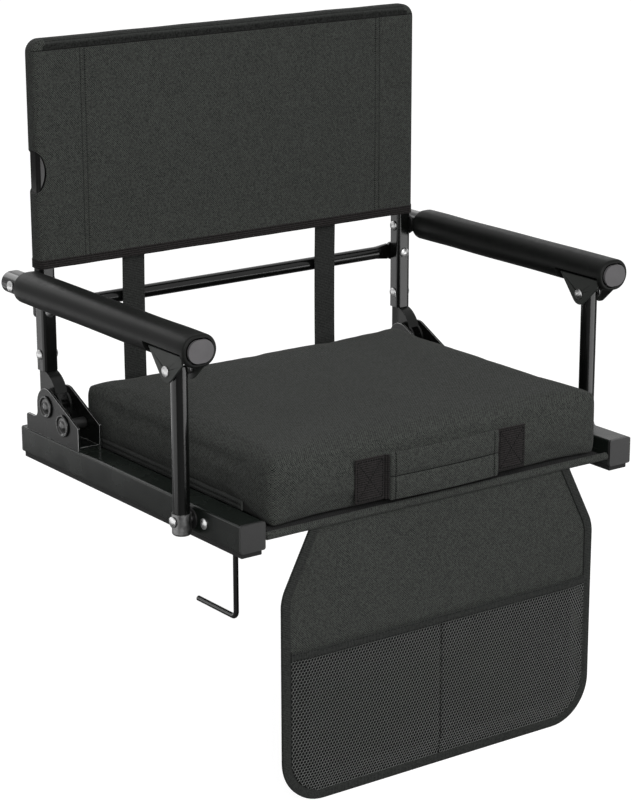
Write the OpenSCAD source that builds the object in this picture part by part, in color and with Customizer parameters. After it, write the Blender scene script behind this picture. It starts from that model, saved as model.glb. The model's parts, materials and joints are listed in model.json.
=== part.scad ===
// Folding bleacher seat with a padded cushion, a sleeved back, two armrests, a front flap and bench hooks.
// Frame: +Z up, front -Y, X across the seat. The rubber feet stand at Z = 0, and Y = 0 is the rails' middle.

/* [Rails] */
// Overall length of a rail with its end caps
rail_length = 367; // [330:1:420]
// Side of the square rail tube
rail_side = 25; // [22:0.5:30]
// Wall of the rail tube
rail_wall = 1.5; // [1:0.1:2.5]
// Outside corner radius of the rail tube
rail_corner = 2; // [1:0.1:3]
// Gap between the cushion's side and the rail
cushion_gap = 7; // [6.5:0.5:12]
// Thickness of an end cap's flange
cap_flange = 3; // [2:0.5:5]
// Length of an end cap's plug inside the rail
cap_plug = 12; // [6:1:20]
// Height of the rubber foot strip
foot_height = 5; // [3:0.5:8]
// Width of the rubber foot strip
foot_width = 21; // [14:0.5:22]
// How far the strip stops short of the rail's front end
foot_front_inset = 3; // [0:0.5:10]
// How far the strip stops short of the rail's rear end
foot_rear_inset = 2; // [0:0.5:12]
// Width of the oval cross tubes
cross_tube_w = 20; // [14:0.5:24]
// Height of the oval cross tubes
cross_tube_h = 10; // [8:0.5:10]
// Front cross tube's distance behind the rail's front end
cross_front_back = 33; // [30:1:34]
// Rear cross tube's distance in front of the rail's rear end
cross_rear_in = 35.5; // [33:0.5:38]

/* [Seat] */
// Thickness of the seat deck
deck_t = 3.4; // [2:0.1:4]
// Half width of the cushion
cushion_half_w = 187; // [170:0.5:210]
// Height of the cushion at its edges
cushion_edge_h = 60; // [40:1:70]
// Extra height of the cushion at its crown
cushion_crown = 5; // [2:0.5:9]
// Rounding of the cushion's top edges
cushion_round = 12; // [6:0.5:18]
// How far the middle of each cushion side is drawn in
cushion_draw = 0.1; // [0:0.1:1]
// How far the cushion's back stays in front of the rails' rear ends
cushion_rear_gap = 55; // [50:1:70]
// Diameter of the fabric roll along the front
roll_d = 8.4; // [6:0.2:9]
// Height of the sewn hem along each side of the seat
hem_h = 8.5; // [6:0.5:10]
// Thickness of the side hem
hem_t = 2.4; // [1:0.1:3]
// Front end of the side hems, behind the cushion's front
hem_front_in = 40.5; // [20:0.5:60]
// Rear end of the side hems, in front of the cushion's rear
hem_rear_in = 10.5; // [5:0.5:30]

/* [Carry handle] */
// Length of the grip
grip_length = 118.8; // [90:0.2:130]
// Height of the grip
grip_h = 38; // [25:1:42]
// Thickness of the grip
grip_t = 5; // [3:0.5:6]
// How far the grip bows out at its middle
grip_bow = 5; // [5:0.5:12]

// Offset of the handle's middle from the seat's centre line
handle_x = -4; // [-8:0.5:8]
// Width of a sewn webbing tab
tab_w = 31.5; // [20:0.5:40]
// Thickness of the tab's webbing
tab_t = 1.6; // [1:0.1:2.5]

/* [Hinge] */
// Hinge axis, in front of the rails' rear ends
pivot_from_rear = 48.5; // [46:0.5:52]
// Hinge axis above the top of the rail
pivot_rise = 29.5; // [28:0.5:32]
// Sheet thickness of the bracket
bracket_t = 2.2; // [1.5:0.1:3]
// Length of the bracket along the rail
bracket_length = 93.5; // [88:0.5:98]
// Radius of the rounded lobe about the hinge axis
lobe_r = 17.2; // [15:0.2:18]
// Height of the bracket's front edge
bracket_front_h = 21.5; // [18:0.5:24]
// Height of the bracket's rear tab
bracket_tab_h = 16; // [12:0.5:20]
// Stop rivet, in front of the hinge axis
stop_ahead = 29.7; // [28:0.1:32]
// Stop rivet, below the hinge axis
stop_drop = 11.2; // [9:0.1:13]
// Radius of the hinge rivet's shank
rivet_r = 4; // [3:0.1:5]
// Radius of the dished rivet heads
rivet_head_r = 10.4; // [8:0.1:11]
// Depth of the dished rivet heads
rivet_head_h = 2; // [1.5:0.1:2.4]

/* [Back frame] */
// Side of the rounded upright tube
upright_w = 15.5; // [14:0.1:15.9]
// Outside corner radius of the upright tube
upright_corner = 3.8; // [3:0.1:6]
// Wall of the upright tube
upright_wall = 1.4; // [1:0.1:1.6]
// Middle of the upright behind the hinge axis
upright_back = 17; // [16:0.5:18]
// Lower end of the upright above the hinge axis
upright_start = 30.5; // [29:0.5:32]
// Height of the back's top above the bench
back_top = 397; // [380:1:420]
// Bend radius of the corner elbows
elbow_r = 10; // [8.5:0.5:12]
// Height of the cross bolt through upright and tongue above the hinge axis
tongue_bolt_rise = 45.5; // [43:0.5:48]
// Width of the hinge tongue
tongue_w = 12.4; // [11:0.1:12.4]
// Sheet thickness of the hinge tongue
tongue_t = 2; // [1.5:0.1:2.5]
// Diameter of the rear crossbar
crossbar_d = 12.5; // [10:0.5:14]
// Height of the crossbar above the hinge axis
crossbar_rise = 87; // [80:1:95]
// Height of the crossbar's flattened ends
crossbar_flat_h = 17.5; // [15:0.5:19]
// Thickness of the crossbar's flattened ends
crossbar_flat_t = 3; // [2:0.5:4]

/* [Back sleeve] */
// Height of the lower edge of the sleeve above the bench
sleeve_bottom = 189; // [186:1:200]
// Thickness of the sleeve's cloth
cloth_t = 1; // [0.8:0.1:1.2]
// Padded thickness of the front and rear panels
sleeve_panel_t = 1.7; // [1.2:0.1:2.5]
// Height of the bottom hem of the sleeve
sleeve_hem_h = 8.5; // [6:0.5:12]
// Radius of the sleeve's upper corners
sleeve_corner = 12.5; // [8:0.5:17]
// Height of the left side's scoop
scoop_h = 42; // [30:1:50]
// Height of the middle of the scoop above the bench
scoop_z = 275; // [250:1:300]
// Width of the back straps
strap_w = 24; // [20:0.5:30]
// Thickness of the back straps
strap_t = 1.8; // [1.2:0.1:2.4]
// Distance of each strap's middle from the seat's middle
strap_x = 111.3; // [90:0.1:130]

/* [Armrests] */
// Distance of the armrests' middles outside the rails' outer faces
arm_out = 10.6; // [10.4:0.1:13]
// Height of the armrest's axis above the bench
arm_z = 174; // [172:0.5:176]
// Width of the oval armrest tube
arm_tube_w = 25; // [24:0.1:25]
// Height of the oval armrest tube
arm_tube_h = 20; // [19:0.1:20.4]
// Wall of the armrest tube
arm_wall = 1.5; // [1:0.1:2]
// Front of the foam, behind the rails' front ends
arm_front_back = 41.5; // [35:0.5:45]
// Rear end of the tube behind the rear pivot
arm_tail = 17.5; // [14:0.5:22]
// Gap between the rear pivot and the foam
foam_gap = 11; // [10.5:0.5:14]
// Outside width of the foam grip
foam_w = 33; // [31:0.5:33.4]
// Outside height of the foam grip
foam_h = 29; // [28:0.5:31]
// How far the end plug stands in front of the foam
plug_proud = 2; // [1:0.5:4]
// Radius of the rear pivot bolt
arm_bolt_r = 3; // [2.5:0.1:3.5]

/* [Posts] */
// Diameter of the post tube
post_d = 15; // [14:0.1:15.4]
// Wall of the post tube
post_wall = 1.3; // [1:0.1:2]
// Post's axis, behind the rails' front ends
post_back = 74.5; // [72:0.5:76]
// Radius of the washers between posts and rails
washer_r = 9; // [6:0.5:10]
// Outside diameter of the post's foot cap
foot_cap_d = 17; // [16.4:0.1:17.4]
// Height of the foot cap
foot_cap_h = 19.7; // [16:0.1:24]
// Front pivot of the armrest, below the armrest's axis
yoke_drop = 22.5; // [22:0.5:24]
// Sheet thickness of the yoke
yoke_t = 2; // [1.5:0.1:2.5]
// Radius of the yoke's rounded lower end
yoke_r = 10; // [8:0.5:11]
// Radius of the yoke pin
yoke_pin_r = 2.4; // [2:0.1:3]
// Free play of the post's upper eye round the yoke pin
eye_play = 2.15; // [2.1:0.05:2.5]

/* [Flap and pocket] */
// Half width of the flap at its top
flap_top_half = 147.6; // [130:0.2:160]
// Half width of the flap below its shoulders
flap_half = 176; // [165:0.5:180]
// Depth of the flap below the bench plane
flap_depth = 240.5; // [200:0.5:260]
// Depth of the flap's shoulders below the bench plane
flap_shoulder = 46; // [36:1:60]
// Radius of the flap's shoulders
shoulder_r = 30; // [10:1:32]
// Radius of the flap's lower corners
flap_corner = 43; // [20:1:50]
// Thickness of the flap's cloth
flap_t = 1.6; // [1.2:0.1:2.4]
// Width of the edge binding
binding_w = 7.5; // [5:0.5:10]
// Thickness of the edge binding
binding_t = 2.6; // [2:0.1:3]
// Depth of the mesh pockets' mouth below the bench plane
pocket_top = 96; // [80:1:110]
// Height of the band along the pockets' mouth
band_h = 9; // [6:0.5:12]
// Depth of the pockets from front to back
pocket_gap = 5.8; // [5:0.2:8]
// Distance between the mesh's holes
mesh_pitch = 13; // [12:0.5:16]

/* [Hooks] */
// Diameter of the hook wire
wire_d = 4.8; // [4:0.1:5.4]
// Distance of the hook's axis from the rail's inner face
hook_inboard = 12.5; // [12:0.5:14]
// Hook's axis, behind the rails' front ends
hook_back = 64.2; // [62:0.2:66]
// Depth of the hook's foot below the bench plane
hook_depth = 78.6; // [60:0.2:90]
// Length of the hook's foot
hook_foot = 60.7; // [40:0.1:75]
// Screw of the hook's socket, behind the rails' front ends
hook_screw_back = 55.5; // [50:0.5:58]
// Bend radius of the hook's wire
hook_bend = 5.5; // [5:0.5:8]

/* [Fasteners and fits] */
// Radius of the screws and cross bolts
screw_r = 2.5; // [2:0.1:2.8]
// Radius of the pan heads
head_r = 4.9; // [4:0.1:5.2]
// Height of the pan heads
head_h = 2.6; // [1.5:0.1:2.8]
// Radial clearance of a turning joint
run_fit = 0.08; // [0.03:0.01:0.1]
// Radial clearance of a fixed screw or plug
slip_fit = 0.12; // [0.05:0.01:0.2]
// Gap left between soft pieces and what moves past them
soft_gap = 0.35; // [0.3:0.05:0.5]

/* [Hidden] */
$fn = 48;

// Rails
rail_x = cushion_half_w + cushion_gap + rail_side / 2;
rail_front = -rail_length / 2;
rail_rear = rail_length / 2;
rail_z = foot_height + rail_side / 2;
rail_top = foot_height + rail_side;
rail_out = rail_x + rail_side / 2;
rail_in = rail_x - rail_side / 2;
cross_z = foot_height + 0.4 + cross_tube_h / 2;
cross_wall = 1.2;
// Seat
deck_z = cross_z + cross_tube_h / 2 + 0.2;
cushion_z = deck_z + deck_t;
cushion_front = rail_front + 3;
cushion_rear = rail_rear - cushion_rear_gap;
cushion_mid_y = (cushion_front + cushion_rear) / 2;
cushion_half_l = (cushion_rear - cushion_front) / 2;
roll_y = cushion_front;
roll_z = cushion_z - 0.4 - roll_d / 2;
roll_half = rail_in - 3.7;
hem_z = cushion_z + 7.5;
hem_front = cushion_front + hem_front_in;
hem_rear = cushion_rear - hem_rear_in;
handle_z = cushion_z + 26;
// Hinge
pivot_y = rail_rear - pivot_from_rear;
pivot_z = rail_top + pivot_rise;
stop_y = pivot_y - stop_ahead;
stop_z = pivot_z - stop_drop;
bracket_rear = rail_rear - 11;
bracket_front = bracket_rear - bracket_length;
bracket_gap = rail_side / 2 - bracket_t;
tongue_half = tongue_w / 2;
// Back frame
upright_x = rail_x;
upright_y = pivot_y + upright_back;
upright_half = upright_w / 2;
upright_out = upright_x + upright_half;
upright_in = upright_x - upright_half;
upright_low = pivot_z + upright_start;
tube_front = upright_y - upright_half;
tube_rear = upright_y + upright_half;
top_z = back_top - sleeve_panel_t - upright_half;
elbow_low = top_z - elbow_r;
tongue_bolt_z = pivot_z + tongue_bolt_rise;
crossbar_z = pivot_z + crossbar_rise;
crossbar_y = tube_rear + crossbar_flat_t / 2;
// Sleeve
sleeve_half = upright_out + cloth_t;
sleeve_front = tube_front - 0.1 - sleeve_panel_t;
sleeve_rear = tube_rear + 0.1 + sleeve_panel_t;
// Armrests
arm_x = rail_out + arm_out;
foam_front = rail_front + arm_front_back;
tube_front_end = foam_front + 0.5;
tube_rear_end = upright_y + arm_tail;
foam_rear = upright_y - foam_gap;
yoke_y = rail_front + post_back;
yoke_z = arm_z - yoke_drop;
yoke_in = arm_tube_w / 2 - 1.3;
yoke_out = yoke_in + yoke_t;
yoke_top = arm_z - arm_tube_h / 4;
// Posts
post_r = post_d / 2;
cap_low = foot_height - 0.2;
post_low = cap_low + 1.7;
post_top = yoke_z + post_r;
eye_r = yoke_pin_r + eye_play;
// Flap
flap_y = cushion_front;
flap_z = roll_z - roll_d / 2 - 0.9;
flap_low = -flap_depth;
mesh_back = flap_y - flap_t / 2 - pocket_gap;
mesh_t = 1;
// Hooks
hook_x = rail_in - hook_inboard;
hook_y = rail_front + hook_back;
wire_r = wire_d / 2;
socket_low = 1.5;
socket_top = deck_z - 2.4;
socket_r = wire_r + 3;
hook_screw_y = rail_front + hook_screw_back;

GLOSS = [0.07, 0.07, 0.07];
BLACK = [0.12, 0.12, 0.12];
RUBBER = [0.09, 0.09, 0.09];
CLOTH = [0.23, 0.24, 0.23];
TRIM = [0.15, 0.16, 0.15];
STEEL = [0.75, 0.75, 0.75];
FOAM = [0.2, 0.2, 0.2];
PLUG = [0.4, 0.39, 0.4];

// Shared shapes

// The children stand on the right side, and their mirror image on the left
module both() {
    children();
    mirror([1, 0, 0]) children();
}

module left() {
    mirror([1, 0, 0]) children();
}

// An outline in Y and Z, given thickness along X from x0
module along_x(x0, t) {
    translate([x0, 0, 0]) rotate([90, 0, 90]) linear_extrude(t) children();
}

// An outline in X and Z, given thickness along Y from y0 towards the rear
module along_y(y0, t) {
    translate([0, y0 + t, 0]) rotate([90, 0, 0]) linear_extrude(t) children();
}

// A cylinder along X from x0 to x1
module pin_x(x0, x1, r, y, z) {
    translate([x0, y, z]) rotate([0, 90, 0]) cylinder(h = x1 - x0, r = r);
}

module pin_y(y0, y1, r, x, z) {
    translate([x, y0, z]) rotate([-90, 0, 0]) cylinder(h = y1 - y0, r = r);
}

module rounded_rect(w, h, r) {
    square([w - 2 * r, h], center = true);
    square([w, h - 2 * r], center = true);
    for (i = [-1, 1], j = [-1, 1]) translate([i * (w / 2 - r), j * (h / 2 - r)]) circle(r);
}

module oval(w, h) {
    square([w - h, h], center = true);
    for (i = [-1, 1]) translate([i * (w - h) / 2, 0]) circle(d = h);
}

module rect_ring(w, h, r, wall) {
    difference() {
        rounded_rect(w, h, r);
        rounded_rect(w - 2 * wall, h - 2 * wall, max(r - wall, 0.3));
    }
}

// A pan head on a face, standing along +X from x, or along -X when side is -1
module pan_head_x(x, y, z, side, r = head_r, h = head_h) {
    translate([x, y, z]) rotate([0, 90 * side, 0]) rotate_extrude() pan_profile(r, h);
}

module pan_profile(r, h) {
    rim = h * 0.45;
    intersection() {
        translate([0, h - (r * r + (h - rim) * (h - rim)) / (2 * (h - rim))])
            circle((r * r + (h - rim) * (h - rim)) / (2 * (h - rim)), $fn = 96);
        square([r, h]);
    }
}

// Where a line from p touches a circle of radius r about c; side is 1 or -1
function tangent(p, c, r, side) = let (d = norm(c - p), dir = atan2(c[1] - p[1], c[0] - p[0]))
    c + r * [cos(dir + 180 - side * acos(r / d)), sin(dir + 180 - side * acos(r / d))];

// Points of a corner b between a and c, rounded to radius r
function rounded(a, b, c, r, n) = let (u = (a - b) / norm(a - b), v = (c - b) / norm(c - b),
    half = acos(u * v) / 2, mid = (u + v) / norm(u + v), o = b + mid * r / sin(half),
    p = b + u * r / tan(half), q = b + v * r / tan(half),
    a0 = atan2(p[1] - o[1], p[0] - o[0]), turn = atan2(q[1] - o[1], q[0] - o[0]) - a0,
    sweep = turn > 180 ? turn - 360 : (turn < -180 ? turn + 360 : turn))
    [for (i = [0:n]) o + r * [cos(a0 + sweep * i / n), sin(a0 + sweep * i / n)]];

// Rails

module rail() {
    tube_length = rail_length - 2 * cap_flange;
    difference() {
        translate([rail_x, 0, rail_z]) rotate([90, 0, 0])
            linear_extrude(tube_length, center = true) rect_ring(rail_side, rail_side, rail_corner, rail_wall);
        pin_x(rail_in - 1, rail_out + 1, arm_bolt_r + slip_fit, yoke_y, rail_z);
        pin_x(rail_in - 1, rail_out + 1, screw_r + slip_fit, hook_screw_y, rail_z);
    }
}

module left_rail() color(BLACK) left() rail();
module right_rail() color(BLACK) rail();

// One end cap: its flange covers the tube's end and its plug sits inside
module end_cap(y, inward) {
    plug_side = rail_side - 2 * rail_wall - 2 * slip_fit;
    translate([rail_x, y, rail_z]) rotate([90 * -inward, 0, 0]) {
        linear_extrude(cap_flange) rounded_rect(rail_side, rail_side, rail_corner);
        translate([0, 0, cap_flange]) linear_extrude(cap_plug)
            rect_ring(plug_side, plug_side, rail_corner - 0.5, 2);
    }
}

module front_end_caps() color(BLACK) both() end_cap(rail_front, 1);
module rear_end_caps() color(BLACK) both() end_cap(rail_rear, -1);

// The strip's lower edges are bevelled, and a shallow groove runs along its tread
module foot_strip() {
    bevel = 0.5;
    half = foot_width / 2;
    length = rail_length - foot_front_inset - foot_rear_inset;
    along_y(rail_front + foot_front_inset, length) translate([rail_x, 0])
        polygon([[-half, foot_height], [-half, bevel], [bevel - half, 0], [half - bevel, 0], [half, bevel],
            [half, foot_height]]);
}

module left_foot_strip() color(RUBBER) left() foot_strip();
module right_foot_strip() color(RUBBER) foot_strip();

module cross_tube(y) {
    translate([-rail_in, y, cross_z]) rotate([90, 0, 90]) linear_extrude(2 * rail_in) difference() {
        oval(cross_tube_w, cross_tube_h);
        oval(cross_tube_w - 2 * cross_wall, cross_tube_h - 2 * cross_wall);
    }
}

module front_cross_tube() color(BLACK) cross_tube(rail_front + cross_front_back);
module rear_cross_tube() color(BLACK) cross_tube(rail_rear - cross_rear_in);

// Seat

// The deck spans the two cross tubes; its rear edge is notched for the back straps
module seat_deck() {
    front = roll_y + roll_d / 2 + 0.1;
    rear = rail_rear - cross_rear_in + cross_tube_w / 2;
    notch = strap_w + 4;
    color(CLOTH) translate([0, 0, deck_z]) linear_extrude(deck_t) difference() {
        translate([0, (front + rear) / 2]) rounded_rect(2 * cushion_half_w - 1, rear - front, 6);
        for (side = [-1, 1]) translate([side * strap_x - notch / 2, rear - cross_tube_w - 4])
            square([notch, cross_tube_w + 10]);
    }
}

// The fabric roll has rounded ends that stop short of the rails
module front_roll() {
    r = roll_d / 2;
    color(CLOTH) {
        pin_x(-roll_half + r, roll_half - r, r, roll_y, roll_z);
        both() translate([roll_half - r, roll_y, roll_z]) rotate([0, 90, 0])
            rotate_extrude() intersection() {
                circle(r);
                square(r);
            }
    }
}

// One ring of the cushion: a rounded rectangle pulled in at the middle of each side
function cushion_point(a, inset, z) = let (
    hw = cushion_half_w - inset, hl = cushion_half_l - inset, corner = 12 - min(inset, 8),
    cx = sign(cos(a)) * (hw - corner), cy = sign(sin(a)) * (hl - corner),
    q = 8, ca = abs(cos(a)), sa = abs(sin(a)),
    k = 1 / pow(pow(ca / hw, q) + pow(sa / hl, q), 1 / q),
    x = k * cos(a), y = k * sin(a),
    pull = cushion_draw * (1 - pow(min(1, inset / 40), 1)),
    px = x - sign(x) * pull * (1 - pow(y / hl, 2)) * pow(abs(x) / hw, 6),
    py = y - sign(y) * pull * (1 - pow(x / hw, 2)) * pow(abs(y) / hl, 6))
    [px, cushion_mid_y + py, z + cushion_crown * (z > cushion_z + cushion_edge_h - 0.01 ? 1 : 0)
        * (1 - pow(px / cushion_half_w, 2)) * (1 - pow(py / cushion_half_l, 2))];

module seat_cushion() {
    sides = 72;
    foot = 5;
    top = cushion_z + cushion_edge_h;
    // inset and height of each ring, from the bottom seam over the rounded edge to the crown
    base = [for (i = [0:3]) [foot * (1 - sin(90 * i / 3)), cushion_z + foot * (1 - cos(90 * i / 3))]];
    edge = [for (i = [0:5]) [cushion_round * (1 - cos(90 * i / 5)),
        top - cushion_round + cushion_round * sin(90 * i / 5)]];
    crown = [for (i = [1:5]) [cushion_round + (cushion_half_l - cushion_round) * 0.98 * i / 5, top]];
    rings = concat(base, edge, crown);
    points = [for (ring = rings, i = [0:sides - 1])
        cushion_point(360 * (i + 0.5) / sides, ring[0], ring[1])];
    last = len(rings) - 1;
    walls = [for (r = [0:last - 1], i = [0:sides - 1], t = [0, 1]) let (j = (i + 1) % sides,
        a = r * sides + i, b = r * sides + j, c = (r + 1) * sides + j, d = (r + 1) * sides + i)
        t == 0 ? [a, c, b] : [a, d, c]];
    floor_face = [[for (i = [0:sides - 1]) i]];
    roof_face = [[for (i = [0:sides - 1]) last * sides + sides - 1 - i]];
    color(CLOTH) polyhedron(points = points, faces = concat(floor_face, walls, roof_face), convexity = 2);
}

module side_hems() {
    color(TRIM) both() along_x(cushion_half_w + 0.15, hem_t) translate([(hem_front + hem_rear) / 2, hem_z + hem_h / 2])
        rounded_rect(hem_rear - hem_front, hem_h, hem_t / 2);
}

// Carry handle: a band bowed off the cushion's front, held by webbing tabs

function bow_r(chord, rise) = (chord * chord / 4 + rise * rise) / (2 * rise);

handle_face = cushion_front - 0.2;

module carry_handle() {
    inner = bow_r(grip_length, grip_bow);
    rear = handle_face - tab_t;
    color(CLOTH) translate([handle_x, 0, handle_z - grip_h / 2]) linear_extrude(grip_h) intersection() {
        translate([0, rear - grip_bow + inner]) difference() {
            circle(inner + grip_t, $fn = 180);
            circle(inner, $fn = 180);
        }
        translate([-grip_length / 2, rear - grip_bow - grip_t - 1]) square([grip_length, grip_bow + grip_t + 1]);
    }
}

module handle_tabs() {
    near = grip_length / 2 + 0.2;
    outer = near + 4 + tab_w;
    color(TRIM) translate([handle_x, 0, handle_z - grip_h / 2]) linear_extrude(grip_h) both() {
        translate([near + 4, handle_face - tab_t]) square([tab_w, tab_t]);
        polygon([[near + 4, handle_face], [near + 4, handle_face - tab_t],
            [near, handle_face - tab_t - 3], [near, handle_face - 3 + tab_t - 1]]);
        translate([outer - 6, handle_face - tab_t - 0.6]) square([6, 0.6]);
    }
}

// Hinge brackets

module bracket_outline() {
    axis = [pivot_y, pivot_z];
    nose = [bracket_front, rail_top + bracket_front_h];
    tab_z = rail_top + bracket_tab_h;
    tab_r = 3;
    neck_r = 6;
    back = pivot_y + lobe_r;
    difference() {
        union() {
            translate([bracket_front, rail_top]) square([bracket_length - tab_r, bracket_tab_h]);
            translate([bracket_rear - tab_r, rail_top]) square([tab_r, bracket_tab_h - tab_r]);
            translate([bracket_rear - tab_r, tab_z - tab_r]) circle(tab_r);
            translate(axis) circle(lobe_r);
            polygon([[bracket_front, rail_top], nose, tangent(nose, axis, lobe_r, 1), axis,
                [back, pivot_z], [back, rail_top]]);
            difference() {
                translate([back, tab_z]) square(neck_r);
                translate([back + neck_r, tab_z + neck_r]) circle(neck_r);
            }
        }
        translate(axis) circle(rivet_r + 0.05);
        translate([stop_y, stop_z]) circle(rivet_r + 0.05);
    }
}

module hinge_bracket() {
    floor_end = 3;
    along_x(rail_in, bracket_t) bracket_outline();
    along_x(rail_out - bracket_t, bracket_t) bracket_outline();
    translate([rail_in + bracket_t / 2, bracket_front + floor_end, rail_top])
        cube([rail_side - bracket_t, bracket_length - 2 * floor_end, bracket_t]);
}

module left_hinge_bracket() color(BLACK) left() hinge_bracket();
module right_hinge_bracket() color(BLACK) hinge_bracket();

// A dished head: a raised rim, a sunk ring and a domed middle
module dished_head(x, y, z, side) {
    r = rivet_head_r;
    h = rivet_head_h;
    dome = r * 0.45;
    translate([x, y, z]) rotate([0, 90 * side, 0]) rotate_extrude($fn = 64)
        polygon([[0, 0], [r - 0.6, 0], [r, 0.5], [r, h - 0.5], [r - 0.6, h], [r - 1.6, h], [r - 2.6, 0.7],
            [dome + 0.8, 0.7], [dome, h - 0.8], [dome * 0.75, h - 0.2], [dome * 0.4, h], [0, h]]);
}

module cross_rivets(y, z) {
    color(GLOSS) both() {
        pin_x(rail_in, rail_out, rivet_r, y, z);
        dished_head(rail_out, y, z, 1);
        dished_head(rail_in, y, z, -1);
    }
}

module hinge_rivets() cross_rivets(pivot_y, pivot_z);
module stop_rivets() cross_rivets(stop_y, stop_z);

// Bushes that keep the tongue in the middle of the bracket, and the stop rivet's sleeve
module hinge_spacers() {
    module bush(x0, x1, r, y, z) difference() {
        pin_x(x0, x1, r, y, z);
        pin_x(x0 - 1, x1 + 1, rivet_r + 0.05, y, z);
    }
    play = 0.2;
    color(BLACK) both() {
        bush(rail_in + bracket_t + play / 2, rail_x - tongue_half - play, rivet_r + 2.5, pivot_y, pivot_z);
        bush(rail_x + tongue_half + play, rail_out - bracket_t - play / 2, rivet_r + 2.5, pivot_y, pivot_z);
        bush(rail_in + bracket_t + play / 2, rail_out - bracket_t - play / 2, rivet_r + 1.2, stop_y, stop_z);
    }
}

// Back frame

module upright() {
    top = elbow_low;
    difference() {
        translate([upright_x, upright_y, upright_low]) linear_extrude(top - upright_low)
            rect_ring(upright_w, upright_w, upright_corner, upright_wall);
        pin_x(upright_in - 1, upright_out + 1, screw_r + slip_fit, upright_y, tongue_bolt_z);
        pin_x(upright_in - 1, upright_out + 1, arm_bolt_r + slip_fit, upright_y, arm_z);
        pin_y(tube_front - 1, tube_rear + 1, screw_r + slip_fit, upright_x, crossbar_z);
    }
}

module left_upright() color(GLOSS) left() upright();
module right_upright() color(GLOSS) upright();

top_half = upright_x - elbow_r;

module top_tube() {
    color(GLOSS) translate([-top_half, upright_y, top_z]) rotate([90, 0, 90])
        linear_extrude(2 * top_half) rect_ring(upright_w, upright_w, upright_corner, upright_wall);
}

// Each elbow turns a quarter round, with a spigot into each tube
module corner_elbows() {
    spigot = upright_w - 2 * upright_wall - 2 * slip_fit;
    reach = 14;
    module stub() linear_extrude(reach) rounded_rect(spigot, spigot, upright_corner - upright_wall);
    color(BLACK) both() {
        translate([top_half, upright_y, elbow_low]) rotate([90, 0, 0]) rotate_extrude(angle = 90)
            translate([elbow_r, 0]) rounded_rect(upright_w, upright_w, upright_corner);
        translate([upright_x, upright_y, elbow_low - reach]) stub();
        translate([top_half, upright_y, top_z]) rotate([0, -90, 0]) stub();
    }
}

// The tongue is a channel: two side cheeks and a web that curves down over the hinge
tongue_front = upright_y - tongue_half;
tongue_rear = upright_y + 4;
web_r = 26.3;
web_c = [pivot_y + 17.7, pivot_z + 5.1];
web_end = pivot_z + 13;

module tongue_outline() {
    floor_z = rail_top + bracket_t + 0.4;
    intersection() {
        translate(web_c) circle(web_r, $fn = 96);
        translate([web_c[0] - web_r, pivot_z]) square([tongue_rear - web_c[0] + web_r, upright_low + 2 - pivot_z]);
    }
    translate([tongue_front, pivot_z]) square([tongue_rear - tongue_front, upright_low + 2 - pivot_z]);
    translate([pivot_y, pivot_z]) circle(15.5);
    // the heel that rests on the bracket's floor when the back is up
    translate([pivot_y + 2, floor_z]) square([tongue_rear - pivot_y - 2, pivot_z - floor_z + 1]);
}

module tongue() {
    cheek = tongue_half - tongue_t;
    shank_top = tongue_bolt_z + 9;
    depth = tongue_rear - tongue_front;
    difference() {
        union() {
            for (x = [upright_x - tongue_half, upright_x + cheek]) along_x(x, tongue_t) tongue_outline();
            along_x(upright_x - tongue_half, tongue_w) intersection() {
                difference() {
                    translate(web_c) circle(web_r, $fn = 96);
                    translate(web_c) circle(web_r - tongue_t, $fn = 96);
                }
                polygon([[web_c[0] - web_r - 1, web_end], [web_c[0], web_end], [tongue_front + 1, web_c[1] + web_r],
                    [web_c[0] - web_r - 1, web_c[1] + web_r]]);
            }
            // the shank, rounded to fit inside the upright
            translate([upright_x, upright_y, upright_low - 2]) linear_extrude(shank_top - upright_low + 2)
                difference() {
                    intersection() {
                        rounded_rect(tongue_w, tongue_w, upright_corner - upright_wall);
                        translate([-tongue_half, -tongue_half]) square([tongue_w, depth]);
                    }
                    translate([-cheek, tongue_t - tongue_half]) square([2 * cheek, tongue_w]);
                }
        }
        // the upright's rounded inside corners
        translate([upright_x, upright_y, upright_low - 0.1]) linear_extrude(shank_top) difference() {
            square(upright_w + 4, center = true);
            rounded_rect(tongue_w, tongue_w, upright_corner - upright_wall);
        }
        pin_x(upright_in, upright_out, rivet_r + run_fit, pivot_y, pivot_z);
        pin_x(upright_in, upright_out, screw_r + slip_fit, upright_y, tongue_bolt_z);
    }
}

module left_tongue() color(BLACK) left() tongue();
module right_tongue() color(BLACK) tongue();

module tongue_bolts() {
    color(STEEL) both() {
        pin_x(upright_in, upright_out, screw_r, upright_y, tongue_bolt_z);
        pan_head_x(upright_out, upright_y, tongue_bolt_z, 1);
        pan_head_x(upright_in, upright_y, tongue_bolt_z, -1);
    }
}

// A round tube whose ends are pressed flat and screwed to the backs of the uprights
module crossbar() {
    r = crossbar_d / 2;
    wall = 1.2;
    flat_start = upright_in - 2;
    round_end = flat_start - 14;
    flat_end = upright_out - 0.5;
    difference() {
        union() {
            pin_x(-round_end, round_end, r, crossbar_y, crossbar_z);
            both() {
                hull() {
                    pin_x(round_end - 0.1, round_end, r, crossbar_y, crossbar_z, $fn = 32);
                    translate([flat_start, crossbar_y - crossbar_flat_t / 2, crossbar_z - crossbar_flat_h / 2 + 1])
                        cube([0.1, crossbar_flat_t, crossbar_flat_h - 2]);
                }
                along_y(crossbar_y - crossbar_flat_t / 2, crossbar_flat_t)
                    translate([(flat_start + flat_end) / 2, crossbar_z])
                    rounded_rect(flat_end - flat_start, crossbar_flat_h, 5);
            }
        }
        pin_x(-round_end, round_end, r - wall, crossbar_y, crossbar_z);
        both() pin_y(tube_rear - 1, tube_rear + crossbar_flat_t + 1, screw_r + slip_fit, upright_x, crossbar_z);
    }
}

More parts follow.
